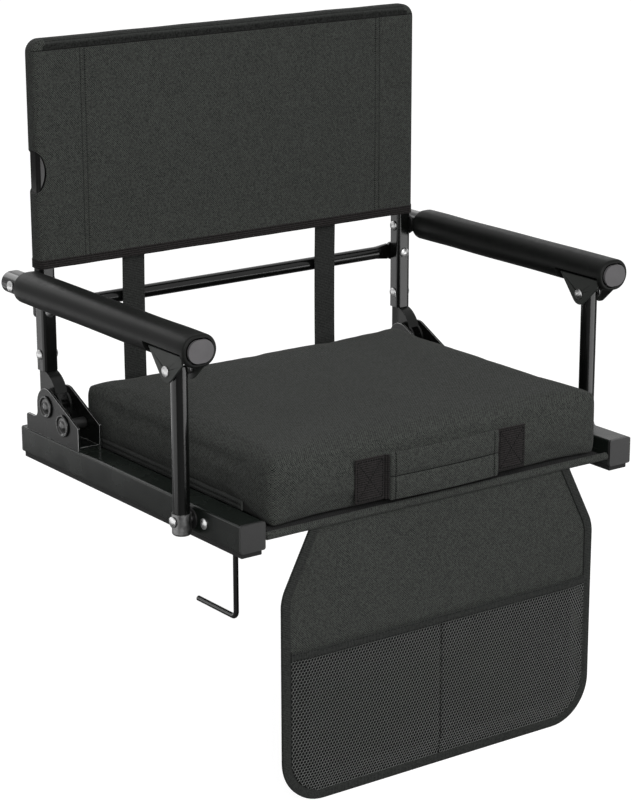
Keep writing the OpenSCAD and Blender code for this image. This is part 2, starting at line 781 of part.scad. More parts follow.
module crossbar_screws() {
    nut_y = tube_rear + crossbar_flat_t;
    color(STEEL) both() {
        pin_y(tube_front, nut_y + 4, screw_r, upright_x, crossbar_z);
        translate([upright_x, tube_front, crossbar_z]) rotate([90, 0, 0]) rotate_extrude() pan_profile(head_r, head_h);
        translate([upright_x, nut_y, crossbar_z]) rotate([-90, 0, 0]) cylinder(h = 3.2, r = 4.4, $fn = 6);
    }
}

// Back sleeve

// The sleeve's plan: a flat bag round the two uprights
module sleeve_plan(inset) {
    depth = sleeve_rear - sleeve_front;
    translate([0, (sleeve_front + sleeve_rear) / 2])
        rounded_rect(2 * (sleeve_half - inset), depth - 2 * min(inset * sleeve_panel_t / cloth_t, sleeve_panel_t),
            upright_corner + (inset > 0 ? 0 : sleeve_panel_t));
}

module sleeve_body() {
    floor_z = sleeve_bottom + sleeve_hem_h;
    skin = cloth_t - 0.1;
    corner = sleeve_corner;
    difference() {
        intersection() {
            translate([0, 0, floor_z]) linear_extrude(back_top - cloth_t - floor_z) sleeve_plan(0);
            // the upper corners follow the elbows
            along_y(sleeve_front - 1, sleeve_rear - sleeve_front + 2) {
                translate([-sleeve_half, floor_z - 1])
                    square([2 * sleeve_half, back_top - corner - floor_z + 1]);
                translate([corner - sleeve_half, floor_z])
                    square([2 * (sleeve_half - corner), back_top - floor_z]);
                both() translate([sleeve_half - corner, back_top - corner]) circle(corner, $fn = 96);
            }
        }
        translate([0, 0, floor_z - 1]) linear_extrude(elbow_low - floor_z + 1) sleeve_plan(skin);
        // the hollow under the top, rounded at its ends like the elbows
        along_y(sleeve_front + sleeve_panel_t, sleeve_rear - sleeve_front - 2 * sleeve_panel_t) {
            translate([-top_half, floor_z]) square([2 * top_half, top_z + upright_half + 0.1 - floor_z]);
            both() translate([top_half, elbow_low]) circle(elbow_r + upright_half + 0.1, $fn = 96);
        }
        left() scoop();
    }
}

// A half-oval cut in the side, open to the rear, whose tip just shows from the front
module scoop() {
    reach = sleeve_rear - sleeve_front + 2;
    along_x(sleeve_half - 7.2, 12) translate([sleeve_rear + 0.5, scoop_z])
        polygon([for (a = [0:7.5:352.5]) [reach * cos(a), scoop_h / 2 * sin(a)]]);
}

module back_sleeve() color(CLOTH) sleeve_body();

// The gusset over the top edge and the hem round the sleeve's open bottom
module sleeve_bindings() {
    corner = sleeve_corner;
    color(TRIM) {
        translate([0, 0, sleeve_bottom]) linear_extrude(sleeve_hem_h) difference() {
            sleeve_plan(0);
            sleeve_plan(cloth_t - 0.1);
        }
        translate([corner - sleeve_half, sleeve_front + 0.5, back_top - cloth_t])
            cube([2 * (sleeve_half - corner), sleeve_rear - sleeve_front - 1, cloth_t]);
    }
}

// A webbing strap from the sleeve down to a loop round the rear cross tube
module back_strap() {
    loop_y = rail_rear - cross_rear_in;
    strap_y = upright_y - 2;
    lean = strap_y - loop_y;
    low = cross_z + cross_tube_h / 2 + 0.2 + strap_t / 2;
    along_x(strap_x - strap_w / 2, strap_w) {
        translate([loop_y, cross_z]) difference() {
            oval(cross_tube_w + 0.4 + 2 * strap_t, cross_tube_h + 0.4 + 2 * strap_t);
            oval(cross_tube_w + 0.4, cross_tube_h + 0.4);
        }
        polygon([[strap_y - strap_t / 2, low], [strap_y + strap_t / 2, low],
            [strap_y + strap_t / 2, sleeve_bottom + 12], [strap_y - strap_t / 2, sleeve_bottom + 12]]);
        translate([min(strap_y, loop_y) - strap_t / 2, low - strap_t / 2]) square([abs(lean) + strap_t, strap_t]);
    }
}

module left_back_strap() color(TRIM) left() back_strap();
module right_back_strap() color(TRIM) back_strap();

// Armrests

module armrest_pivot_bolts() {
    far = arm_x + arm_tube_w / 2;
    color(STEEL) both() {
        pin_x(upright_in, far, arm_bolt_r, upright_y, arm_z);
        pan_head_x(far + 0.1, upright_y, arm_z, 1, head_r + 0.1, head_h);
        pin_x(far - 0.1, far + 0.2, arm_bolt_r, upright_y, arm_z);
        pan_head_x(upright_in, upright_y, arm_z, -1);
    }
}

module armrest_spacers() {
    outer = arm_x - arm_tube_w / 2 - 0.3;
    color(BLACK) both() difference() {
        pin_x(upright_out, outer, arm_tube_h / 2, upright_y, arm_z);
        pin_x(upright_out - 1, outer + 1, arm_bolt_r + slip_fit, upright_y, arm_z);
    }
}

module armrest_tube() {
    difference() {
        along_y(tube_front_end, tube_rear_end - tube_front_end) translate([arm_x, arm_z]) difference() {
            oval(arm_tube_w, arm_tube_h);
            oval(arm_tube_w - 2 * arm_wall, arm_tube_h - 2 * arm_wall);
        }
        pin_x(arm_x - arm_tube_w, arm_x + arm_tube_w, arm_bolt_r + run_fit, upright_y, arm_z);
    }
}

module left_armrest_tube() color(GLOSS) left() armrest_tube();
module right_armrest_tube() color(GLOSS) armrest_tube();

// The foam is cut away under the tube for the yoke, and pressed in where the back folds past it
module armrest_foam() {
    inner_face = sleeve_half + soft_gap;
    yoke_room = 3.5;
    difference() {
        along_y(foam_front, foam_rear - foam_front) translate([arm_x, arm_z]) difference() {
            oval(foam_w, foam_h);
            oval(arm_tube_w, arm_tube_h);
        }
        translate([inner_face - 20, foam_front - 1, arm_z - foam_h]) cube([20, foam_rear - foam_front + 2, 2 * foam_h]);
        translate([arm_x - foam_w, yoke_front - yoke_room, arm_z - foam_h])
            cube([2 * foam_w, yoke_back - yoke_front + 2 * yoke_room, foam_h - arm_tube_h / 4 + soft_gap]);
    }
}

module left_armrest_foam() color(FOAM) left() armrest_foam();
module right_armrest_foam() color(FOAM) armrest_foam();

module armrest_plug() {
    stub = 12;
    in_w = arm_tube_w - 2 * arm_wall - 2 * slip_fit;
    in_h = arm_tube_h - 2 * arm_wall - 2 * slip_fit;
    along_y(foam_front - plug_proud, plug_proud + 0.5) translate([arm_x, arm_z]) oval(arm_tube_w, arm_tube_h);
    along_y(tube_front_end, stub) translate([arm_x, arm_z]) difference() {
        oval(in_w, in_h);
        oval(in_w - 4, in_h - 4);
    }
}

module left_armrest_plug() color(PLUG) left() armrest_plug();
module right_armrest_plug() color(PLUG) armrest_plug();

// Yoke: two rounded triangles that hang from the tube, joined by a saddle under it

yoke_back = yoke_y + 27;
yoke_front = yoke_y - 25;

module yoke_outline() {
    c = [yoke_y, yoke_z];
    rear = [yoke_back, yoke_top];
    nose = [yoke_front, yoke_top - 8];
    difference() {
        union() {
            translate(c) circle(yoke_r);
            polygon([rear, [yoke_front, yoke_top], nose, tangent(nose, c, yoke_r, -1), c, tangent(rear, c, yoke_r, 1)]);
        }
        translate(c) circle(yoke_pin_r + 0.05);
    }
}

module yoke() {
    saddle_z = arm_z - arm_tube_h / 2 - yoke_t;
    along_x(arm_x + yoke_in, yoke_t) yoke_outline();
    along_x(arm_x - yoke_out, yoke_t) yoke_outline();
    translate([arm_x - yoke_in - yoke_t / 2, yoke_front + 3, saddle_z])
        cube([2 * yoke_in + yoke_t, yoke_back - yoke_front - 16, yoke_t]);
}

module left_yoke() color(BLACK) left() yoke();
module right_yoke() color(BLACK) yoke();

// The pin, its two heads and the bushes that centre the post
module yoke_pin() {
    pin_x(arm_x - yoke_out, arm_x + yoke_out, yoke_pin_r, yoke_y, yoke_z);
    pan_head_x(arm_x + yoke_out, yoke_y, yoke_z, 1, head_r, head_h * 0.8);
    pan_head_x(arm_x - yoke_out, yoke_y, yoke_z, -1, head_r, head_h * 0.8);
    for (side = [0, 1]) translate([side * 2 * arm_x, 0, 0]) mirror([side, 0, 0]) difference() {
        pin_x(arm_x + post_r + 0.4, arm_x + yoke_in - 0.1, yoke_pin_r + 3, yoke_y, yoke_z);
        pin_x(arm_x + post_r, arm_x + yoke_in + 1, yoke_pin_r + 0.05, yoke_y, yoke_z);
    }
}

module left_yoke_pin() color(STEEL) left() yoke_pin();
module right_yoke_pin() color(STEEL) yoke_pin();

// Posts

module post() {
    difference() {
        union() {
            translate([arm_x, yoke_y, post_low]) cylinder(h = yoke_z - post_low, r = post_r);
            // the upper end is rounded about the yoke pin
            intersection() {
                translate([arm_x, yoke_y, yoke_z - 1]) cylinder(h = post_top - yoke_z + 1, r = post_r);
                pin_x(arm_x - post_d, arm_x + post_d, post_r, yoke_y, yoke_z);
            }
        }
        translate([arm_x, yoke_y, post_low - 1]) cylinder(h = post_top - post_low + 2, r = post_r - post_wall);
        pin_x(arm_x - post_d, arm_x + post_d, arm_bolt_r + run_fit, yoke_y, rail_z);
        pin_x(arm_x - post_d, arm_x + post_d, eye_r, yoke_y, yoke_z);
    }
}

module left_post() color(GLOSS) left() post();
module right_post() color(GLOSS) post();

module post_cap() {
    r = foot_cap_d / 2;
    bottom_round = 2.5;
    bore = post_r + 0.05;
    difference() {
        translate([arm_x, yoke_y, cap_low]) rotate_extrude() difference() {
            union() {
                square([r - bottom_round, foot_cap_h]);
                translate([0, bottom_round]) square([r, foot_cap_h - bottom_round]);
                translate([r - bottom_round, bottom_round]) circle(bottom_round);
            }
            translate([-bottom_round, -1]) square([bottom_round, foot_cap_h + 2]);
            translate([0, post_low - cap_low - 0.1]) square([bore, foot_cap_h]);
        }
        pin_x(arm_x - post_d, arm_x + post_d, arm_bolt_r + run_fit, yoke_y, rail_z);
    }
}

module left_post_cap() color(STEEL) left() post_cap();
module right_post_cap() color(STEEL) post_cap();

module post_pivot_bolts() {
    face = arm_x + foot_cap_d / 2 + 0.3;
    color(STEEL) both() {
        pin_x(rail_in - 3.6, face, arm_bolt_r, yoke_y, rail_z);
        pan_head_x(face, yoke_y, rail_z, 1, head_r, head_h * 0.8);
        pin_x(rail_in - 3.2, rail_in, 4.4, yoke_y, rail_z, $fn = 6);
    }
}

module post_washers() {
    inner = arm_x - foot_cap_d / 2 - 0.4;
    color(BLACK) both() difference() {
        pin_x(rail_out, inner, washer_r, yoke_y, rail_z);
        pin_x(rail_out - 1, inner + 1, arm_bolt_r + slip_fit, yoke_y, rail_z);
    }
}

// Flap and mesh pockets

function flap_side() = let (shoulder = [flap_half, -flap_shoulder], low = [flap_half, flap_low],
    top = [flap_top_half, flap_z], neck = [flap_top_half, flap_z - 7])
    concat([top, neck], rounded(neck, shoulder, low, shoulder_r, 8),
        rounded(shoulder, low, [0, flap_low], flap_corner, 12));

module flap_outline(inset = 0) {
    half = flap_side();
    mirrored = [for (i = [len(half) - 1:-1:0]) [-half[i][0], half[i][1]]];
    intersection() {
        offset(delta = -inset) polygon(concat(half, mirrored));
        translate([-flap_half, flap_low]) square([2 * flap_half, flap_z - flap_low]);
    }
    // the binding leaves the sewn top edge open
    if (inset > 0) translate([inset * 1.3 - flap_top_half, flap_z - inset - 1])
        square([2 * (flap_top_half - inset * 1.3), inset + 1]);
}

module flap_panel() color(CLOTH) along_y(flap_y - flap_t / 2, flap_t) flap_outline(binding_w);

module flap_binding() color(TRIM) along_y(flap_y - binding_t / 2, binding_t) difference() {
    flap_outline();
    flap_outline(binding_w);
}

pocket_wall = 1.2;
pocket_inset = binding_w + 1;

module pocket_area(inset) intersection() {
    flap_outline(inset);
    translate([-flap_half, flap_low]) square([2 * flap_half, flap_depth - pocket_top]);
}

// The side, bottom and middle walls that hold the mesh off the flap
module pocket_gussets() color(TRIM) along_y(mesh_back, pocket_gap) {
    difference() {
        pocket_area(pocket_inset);
        pocket_area(pocket_inset + pocket_wall);
        translate([-flap_half, -pocket_top]) square([2 * flap_half, 20]);
    }
    translate([-pocket_wall / 2, flap_low + pocket_inset]) square([pocket_wall, flap_depth - pocket_top - pocket_inset]);
}

// The net, drawn with coarser holes than the real mesh
module pocket_mesh() {
    hole = mesh_pitch * 0.36;
    row = mesh_pitch * 0.866;
    rim = 8;
    net_top = -pocket_top - band_h;
    net_low = flap_low + pocket_inset;
    rows = floor((net_top - net_low - rim) / row);
    half = flap_half - pocket_inset - rim;
    columns = floor(half / mesh_pitch);
    color(TRIM) along_y(mesh_back - mesh_t, mesh_t) difference() {
        intersection() {
            pocket_area(pocket_inset);
            translate([-flap_half, flap_low]) square([2 * flap_half, net_top - flap_low]);
        }
        for (j = [0:rows - 1], i = [0:columns - 1], s = [-1, 1]) {
            x = s * (mesh_pitch * (i + (j % 2 == 0 ? 0.5 : 1)));
            z = net_low + rim + row * (j + 0.2);
            lowest = z - net_low;
            room = lowest < flap_corner ? flap_corner * (1 - sqrt(max(0, 1 - pow(1 - lowest / flap_corner, 2)))) : 0;
            if (abs(x) < half - room - 2) translate([x, z]) rotate(30) circle(hole, $fn = 6);
        }
    }
}

module pocket_band() color(TRIM) along_y(mesh_back - 2, 2)
    translate([0, -pocket_top - band_h / 2]) square([2 * (flap_half - pocket_inset), band_h], center = true);

// Bench hooks

// The socket screws to the rail's inner face and holds the hook's upright end
module hook_sockets() {
    plate_t = 5.5;
    plate_top = rail_top - 5;
    plate_front = hook_screw_y - 8;
    plate_rear = hook_y + socket_r;
    color(BLACK) both() difference() {
        union() {
            translate([rail_in - plate_t, plate_front, socket_low]) cube([plate_t, plate_rear - plate_front, plate_top - socket_low]);
            translate([hook_x, hook_y - socket_r, socket_low])
                cube([rail_in - plate_t / 2 - hook_x, 2 * socket_r, socket_top - socket_low]);
            translate([hook_x, hook_y, socket_low]) cylinder(h = socket_top - socket_low, r = socket_r);
        }
        translate([hook_x, hook_y, 0]) cylinder(h = rail_top, r = wire_r + run_fit);
        pin_x(rail_in - plate_t + 1, rail_in + 1, screw_r + slip_fit, hook_screw_y, rail_z);
    }
}

module hook_socket_screws() color(STEEL) both() {
    pin_x(rail_in - 4, rail_out, screw_r, hook_screw_y, rail_z);
    pan_head_x(rail_out, hook_screw_y, rail_z, 1, head_r, head_h * 0.8);
}

// Bent wire: an upright shank with a flat head, a bend and a foot that points to the rear
module hook() {
    knee = hook_depth - hook_bend;
    head_z = socket_top + 0.1;
    translate([hook_x, hook_y, -knee]) cylinder(h = head_z + knee + 0.5, r = wire_r);
    translate([hook_x, hook_y, head_z]) cylinder(h = 1.6, r = wire_r + 1.6);
    translate([hook_x, hook_y + hook_bend, -knee]) rotate([0, 90, 180])
        rotate_extrude(angle = 90) translate([hook_bend, 0]) circle(wire_r);
    pin_y(hook_y + hook_bend, hook_y + hook_foot - 1, wire_r, hook_x, -hook_depth);
    translate([hook_x, hook_y + hook_foot - 1, -hook_depth]) rotate([-90, 0, 0]) cylinder(h = 1, r1 = wire_r, r2 = wire_r - 0.8);
}

module left_hook() color(GLOSS) left() hook();
module right_hook() color(GLOSS) hook();

left_rail();
right_rail();
front_end_caps();
rear_end_caps();
left_foot_strip();
right_foot_strip();
front_cross_tube();
rear_cross_tube();
seat_deck();
front_roll();
seat_cushion();
side_hems();
left_hinge_bracket();
right_hinge_bracket();
hinge_rivets();
hinge_spacers();
stop_rivets();
post_pivot_bolts();
post_washers();
hook_sockets();
hook_socket_screws();
handle_tabs();
carry_handle();
flap_panel();
flap_binding();
pocket_mesh();
pocket_gussets();
pocket_band();
left_upright();
right_upright();
top_tube();
corner_elbows();
left_tongue();
right_tongue();
color(GLOSS) crossbar();
crossbar_screws();
tongue_bolts();
back_sleeve();
sleeve_bindings();
left_back_strap();
right_back_strap();
armrest_pivot_bolts();
armrest_spacers();
left_armrest_tube();
right_armrest_tube();
left_armrest_foam();
right_armrest_foam();
left_armrest_plug();
right_armrest_plug();
left_yoke();
right_yoke();
left_yoke_pin();
right_yoke_pin();
left_post();
right_post();
left_post_cap();
right_post_cap();
left_hook();
right_hook();
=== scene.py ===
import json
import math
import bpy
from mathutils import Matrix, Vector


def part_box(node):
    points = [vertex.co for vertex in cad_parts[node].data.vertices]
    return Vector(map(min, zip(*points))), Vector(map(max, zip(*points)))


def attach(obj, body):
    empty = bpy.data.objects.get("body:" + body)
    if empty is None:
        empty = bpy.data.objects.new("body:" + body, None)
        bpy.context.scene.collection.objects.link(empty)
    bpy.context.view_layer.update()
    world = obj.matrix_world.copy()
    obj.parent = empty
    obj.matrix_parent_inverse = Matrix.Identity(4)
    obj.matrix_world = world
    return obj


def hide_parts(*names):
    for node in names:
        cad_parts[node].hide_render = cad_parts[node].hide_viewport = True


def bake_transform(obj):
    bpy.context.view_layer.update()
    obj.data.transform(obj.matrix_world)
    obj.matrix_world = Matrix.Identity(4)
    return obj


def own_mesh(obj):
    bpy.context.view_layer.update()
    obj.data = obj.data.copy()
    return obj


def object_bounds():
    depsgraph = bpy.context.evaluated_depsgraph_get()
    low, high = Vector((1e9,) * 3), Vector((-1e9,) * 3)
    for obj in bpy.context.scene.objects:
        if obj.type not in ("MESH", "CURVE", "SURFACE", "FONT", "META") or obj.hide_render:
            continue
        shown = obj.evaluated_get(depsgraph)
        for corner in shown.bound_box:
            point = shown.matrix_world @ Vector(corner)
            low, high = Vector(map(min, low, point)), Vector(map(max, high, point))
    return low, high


bl_info = {
    "name": "Bleacher seat",
    "version": (1, 0, 0),
    "blender": (4, 5, 0),
    "location": "View3D > Sidebar > Bleacher seat",
    "description": "Dresses a folding bleacher seat: cloth, webbing, foam, painted tube and fasteners",
    "category": "Add Mesh",
}

import bmesh
import bpy
from mathutils import Matrix, Quaternion, Vector, noise

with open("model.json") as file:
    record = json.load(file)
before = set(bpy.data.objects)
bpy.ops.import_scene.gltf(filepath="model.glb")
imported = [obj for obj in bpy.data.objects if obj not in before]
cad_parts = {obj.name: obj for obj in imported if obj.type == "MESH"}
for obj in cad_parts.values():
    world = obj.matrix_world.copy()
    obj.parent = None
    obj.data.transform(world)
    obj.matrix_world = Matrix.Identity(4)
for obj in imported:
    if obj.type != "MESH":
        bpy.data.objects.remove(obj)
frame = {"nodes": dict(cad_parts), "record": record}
CAD_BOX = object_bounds()
SIDES = (("left", -1.0), ("right", 1.0))
X, Y, Z = range(3)


# ---- settings

def metres(name, description, default):
    return bpy.props.FloatProperty(
        name=name, description=description, default=default, min=0.0, unit="LENGTH", precision=5)


def rgb(name, description, default):
    return bpy.props.FloatVectorProperty(
        name=name, description=description, default=default, subtype="COLOR", size=3, min=0.0, max=1.0)


def number(name, description, default, low=0.0, high=1000.0):
    return bpy.props.FloatProperty(name=name, description=description, default=default, min=low, max=high)


class SeatSizes(bpy.types.PropertyGroup):
    """Sizes of the sewn details"""
    weave: metres("Weave", "Distance between two threads of the main cloth", 0.00105)
    rib: metres("Webbing rib", "Distance between two ribs of the webbing", 0.0016)
    tape_rib: metres("Tape rib", "Distance between two ribs of the binding tape", 0.0016)
    net_pitch: metres("Net pitch", "Distance between two holes of the pocket net", 0.0031)
    net_hole: metres("Net hole", "Radius of a hole of the pocket net", 0.00143)
    stitch: metres("Stitch", "Length of one stitch", 0.0030)
    cushion_corner: metres("Cushion corner", "Rounding of the cushion's upright edges", 0.006)
    cushion_edge: metres("Cushion edge", "Rounding of the cushion's top edges", 0.006)
    cushion_swell: metres("Cushion swell", "Most that the stuffing may push the cover out", 0.003)
    sleeve_edge: metres("Sleeve edge", "Rounding of the sleeve's front side edges", 0.0055)
    binding: metres("Binding", "Width of the flap's edge binding", 0.0084)
    foam_end: metres("Foam end", "Rounding of the armrest foam's ends", 0.0022)
    metal_edge: metres("Metal edge", "Rounding of sheet and tube edges", 0.0005)


class SeatColours(bpy.types.PropertyGroup):
    """Colours of the finishes"""
    cloth: rgb("Cloth", "Main charcoal cloth", (0.043, 0.046, 0.042))
    # the deck's lining colour, also painted shade on the flap's cloth behind the pocket nets
    lining: rgb("Lining", "Cloth under the seat and behind the nets", (0.006, 0.006, 0.006))
    tape: rgb("Tape", "Binding tape", (0.025, 0.0265, 0.025))
    webbing: rgb("Webbing", "Back straps", (0.024, 0.025, 0.024))
    # the tabs' own colour, also used as painted shade on the back sleeve's inner faces
    handle_webbing: rgb("Webbing and sleeve inside shade", "Tabs of the carry handle", (0.0165, 0.015, 0.0148))
    thread: rgb("Thread", "Sewing thread", (0.005, 0.005, 0.005))
    net: rgb("Net", "Pocket net", (0.24, 0.248, 0.238))
    foam: rgb("Foam", "Armrest foam", (0.0082, 0.0087, 0.0082))
    gloss: rgb("Gloss paint", "Uprights, posts, crossbar and hooks", (0.003, 0.0032, 0.003))
    rail: rgb("Rail paint", "Rails and cross tubes", (0.009, 0.0115, 0.0097))
    bracket: rgb("Bracket paint", "Hinge brackets and tongues", (0.006, 0.0066, 0.0062))
    rivet: rgb("Rivet paint", "Dished hinge rivets", (0.007, 0.0075, 0.007))
    yoke: rgb("Yoke paint", "Yokes", (0.03, 0.033, 0.03))
    moulding: rgb("Moulding", "End caps", (0.029, 0.029, 0.029))
    black_moulding: rgb("Black moulding", "Bushes, washers and sockets", (0.012, 0.012, 0.012))
    plug: rgb("Plug", "Armrest end plugs", (0.113, 0.109, 0.113))
    rubber: rgb("Rubber", "Foot strips", (0.012, 0.012, 0.012))
    zinc: rgb("Zinc", "Screw heads", (0.46, 0.46, 0.46))
    foot_cap: rgb("Foot cap", "Post foot caps", (0.2, 0.2, 0.2))
    # painted highlight: the hinge plates' rims get this bright bare metal, which stands in for the shine
    # along their edges
    rim_highlight: rgb("Highlit rim", "Rims of the hinge plates, where paint has worn", (0.34, 0.34, 0.34))


class StageSettings(bpy.types.PropertyGroup):
    """Floor, lamps and camera"""
    floor: rgb("Floor", "Floor colour", (0.2, 0.2, 0.2))
    sky: number("Sky", "Strength of the even light from all round", 0.27)
    top: number("Top lamp", "Radiance of the large lamp overhead", 0.15)
    key: number("Key lamp", "Radiance of the large lamp above the front", 4.15)
    back: number("Back lamp", "Radiance of the lamp high behind", 2.8)
    right: number("Right lamp", "Radiance of the low lamp in front on the right", 3.9)
    left: number("Left lamp", "Radiance of the low lamp on the left", 1.9)
    rear: number("Rear lamp", "Radiance of the low lamp behind on the left", 2.1)
    camera_place: bpy.props.FloatVectorProperty(
        name="Camera place", description="Where the camera stands", size=3, subtype="TRANSLATION",
        default=(-1.3492, -1.8524, 0.7192))
    camera_lens: number("Lens", "Focal length in millimetres", 115.02)


# ---- finishes

def add(tree, kind, inputs=(), out=0, **props):
    """Adds a node, sets its properties, and links or fills its inputs. Returns one output."""
    n = tree.nodes.new("ShaderNode" + kind)
    for key, value in props.items():
        setattr(n, key, value)
    for key, value in inputs.items() if isinstance(inputs, dict) else enumerate(inputs):
        if isinstance(value, bpy.types.NodeSocket):
            tree.links.new(value, n.inputs[key])
        else:
            n.inputs[key].default_value = value
    return n.outputs[out]


def math_node(tree, operation, *values):
    return add(tree, "Math", values, operation=operation)


def times(tree, value, factor):
    return math_node(tree, "MULTIPLY", value, factor)


def plus(tree, total, *values):
    for value in values:
        total = math_node(tree, "ADD", total, value)
    return total


def mix(tree, factor, low, high):
    return add(tree, "Mix", {0: factor, 2: low, 3: high}, data_type="FLOAT")


def mix_colour(tree, factor, low, high):
    return add(tree, "Mix", {0: factor, 6: low, 7: high}, out=2, data_type="RGBA")


def spread(tree, value, low, high, to_low=0.0, to_high=1.0):
    """Stretches a value so that low becomes to_low and high becomes to_high"""
    return add(tree, "MapRange", {0: value, 1: low, 2: high, 3: to_low, 4: to_high}, clamp=True)


def speckle(tree, place, scale, detail=2.0, rough=0.5):
    return add(tree, "TexNoise", {"Vector": place, "Scale": scale, "Detail": detail, "Roughness": rough})


def bump(tree, height, strength, distance):
    return add(tree, "Bump", {"Height": height, "Strength": strength, "Distance": distance})


def tint(colour, factor):
    return tuple(min(1.0, c * factor) for c in colour) + (1.0,)


def shades(tree, factor, colour, low, high):
    """The colour, from low times as bright at factor 0 to high times at 1"""
    return mix_colour(tree, factor, tint(colour, low), tint(colour, high))


def object_place(tree):
    return add(tree, "TexCoord", out=3)


def split(tree, vector):
    return add(tree, "SeparateXYZ", (vector,)).node.outputs


def surface_uv(tree, place):
    """Two coordinates along the surface, chosen by the way that it faces"""
    x, y, z = split(tree, place)
    normal = add(tree, "TexCoord", out=1)
    nx, ny, nz = split(tree, add(tree, "VectorMath", (normal,), operation="ABSOLUTE"))
    sideways = math_node(tree, "GREATER_THAN", nx, math_node(tree, "MAXIMUM", ny, nz))
    upward = math_node(tree, "GREATER_THAN", nz, math_node(tree, "MAXIMUM", nx, ny))
    return mix(tree, sideways, x, y), mix(tree, upward, z, y)


def thread_wave(tree, coordinate, pitch):
    """0 between two threads and 1 on top of a thread"""
    return math_node(tree, "ABSOLUTE", math_node(tree, "SINE", times(tree, coordinate, math.pi / pitch)))


def mixed_threads(tree, u, v, pitch):
    """A shade of its own for each crossing of two threads, as in melange yarn"""
    cell = [math_node(tree, "FLOOR", math_node(tree, "DIVIDE", c, pitch)) for c in (u, v)]
    return add(tree, "TexWhiteNoise", {0: add(tree, "CombineXYZ", (*cell, 0.5))}, noise_dimensions="3D")


def new_finish(name, roughness=0.5, metallic=0.0, sheen=0.0, specular=0.5):
    """A material with a Principled shader whose uniform values sit on its own sockets"""
    mat = bpy.data.materials.new(name)
    mat.use_nodes = True
    values = {"Roughness": roughness, "Metallic": metallic, "Sheen Weight": sheen,
              "Sheen Roughness": 0.6, "Specular IOR Level": specular}
    for key, value in values.items():
        mat.node_tree.nodes["Principled BSDF"].inputs[key].default_value = value
    return mat, mat.node_tree, object_place(mat.node_tree)


def wired(mat, colour, normal, roughness=None):
    """Links a finish's varying values to its shader, and returns the finish"""
    tree = mat.node_tree
    for key, value in {"Base Color": colour, "Normal": normal, "Roughness": roughness}.items():
        if value is not None:
            tree.links.new(value, tree.nodes["Principled BSDF"].inputs[key])
    return mat


def woven_finish(name, colour, pitch, roughness=0.9, sheen=0.05, contrast=1.0):
    """Plain-weave cloth of slubbed melange threads"""
    mat, tree, place = new_finish(name, roughness, sheen=sheen, specular=0.06)
    u, v = surface_uv(tree, place)
    wander = speckle(tree, place, 160.0, 1.0)
    u = plus(tree, u, times(tree, wander, pitch * 0.5))
    # warp and weft differ a little in shade, so that the cloth shows its checks of one thread
    warp = add(tree, "TexChecker", {0: add(tree, "CombineXYZ", (u, v, 0.25 * pitch)),
                                    1: (1, 1, 1, 1), 2: (0, 0, 0, 1), 3: 1.0 / pitch}, out=1)
    over = mix(tree, warp, thread_wave(tree, u, pitch), thread_wave(tree, v, pitch))
    yarn = mixed_threads(tree, u, v, pitch)
    slub = spread(tree, speckle(tree, place, 900.0, 3.0, 0.7), 0.36, 0.64)
    cloud = spread(tree, speckle(tree, place, 14.0, 3.0), 0.3, 0.7)
    shade = plus(tree, times(tree, over, 0.1), times(tree, yarn, 0.48), times(tree, warp, 0.6),
                 times(tree, slub, -0.2))
    body = shades(tree, shade, colour, 1 - contrast, 1 + contrast)
    height = plus(tree, over, times(tree, slub, 0.7))
    return wired(mat, mix_colour(tree, 0.12, body, shades(tree, cloud, colour, 0.7, 1.25)),
                 bump(tree, height, 0.6, 0.00025))


def ribbed_finish(name, colour, pitch, axis, roughness=0.85, sheen=0.04, strength=0.7, contrast=0.85):
    """Webbing or tape with ribs across its length, read from an axis or from the piece's run attribute"""
    mat, tree, place = new_finish(name, roughness, sheen=sheen, specular=0.04)
    if axis == "run":
        along = add(tree, "Attribute", out=2, attribute_name="run")
    else:
        along = split(tree, place)["xyz".index(axis)]
    rib = thread_wave(tree, along, pitch)
    fluff = spread(tree, speckle(tree, place, 620.0, 2.0, 0.6), 0.36, 0.64)
    shade = plus(tree, times(tree, rib, 0.6), times(tree, fluff, 0.4))
    return wired(mat, shades(tree, shade, colour, 1 - contrast, 1 + contrast),
                 bump(tree, plus(tree, rib, times(tree, fluff, 0.3)), strength, 0.0003))


def painted_finish(name, colour, roughness, specular, grain=0.25):
    """Sprayed paint with a faint orange peel and uneven gloss"""
    mat, tree, place = new_finish(name, roughness, specular=specular)
    cloud = spread(tree, speckle(tree, place, 35.0, 3.0), 0.3, 0.7)
    return wired(mat, shades(tree, cloud, colour, 0.85, 1.15),
                 bump(tree, speckle(tree, place, 1400.0, 2.0), grain, 0.00006),
                 spread(tree, cloud, 0.0, 1.0, roughness * 0.85, roughness * 1.15))


def moulded_finish(name, colour, roughness=0.5, grain=0.35):
    """Moulded plastic with a fine spark-eroded grain"""
    mat, tree, place = new_finish(name, roughness, specular=0.22)
    fine = spread(tree, speckle(tree, place, 2200.0, 2.0), 0.3, 0.7)
    return wired(mat, shades(tree, speckle(tree, place, 60.0, 2.0), colour, 0.85, 1.15),
                 bump(tree, fine, grain, 0.00008))


def metal_finish(name, colour, roughness=0.3):
    """Bright plated metal with fine turning marks and dull spots"""
    mat, tree, place = new_finish(name, roughness, metallic=1.0)
    fine = spread(tree, speckle(tree, place, 1800.0, 3.0), 0.3, 0.7)
    dull = spread(tree, speckle(tree, place, 240.0, 3.0), 0.35, 0.7)
    return wired(mat, shades(tree, dull, colour, 0.8, 1.1), bump(tree, fine, 0.15, 0.00004),
                 spread(tree, dull, 0.0, 1.0, roughness * 0.75, roughness * 1.4))


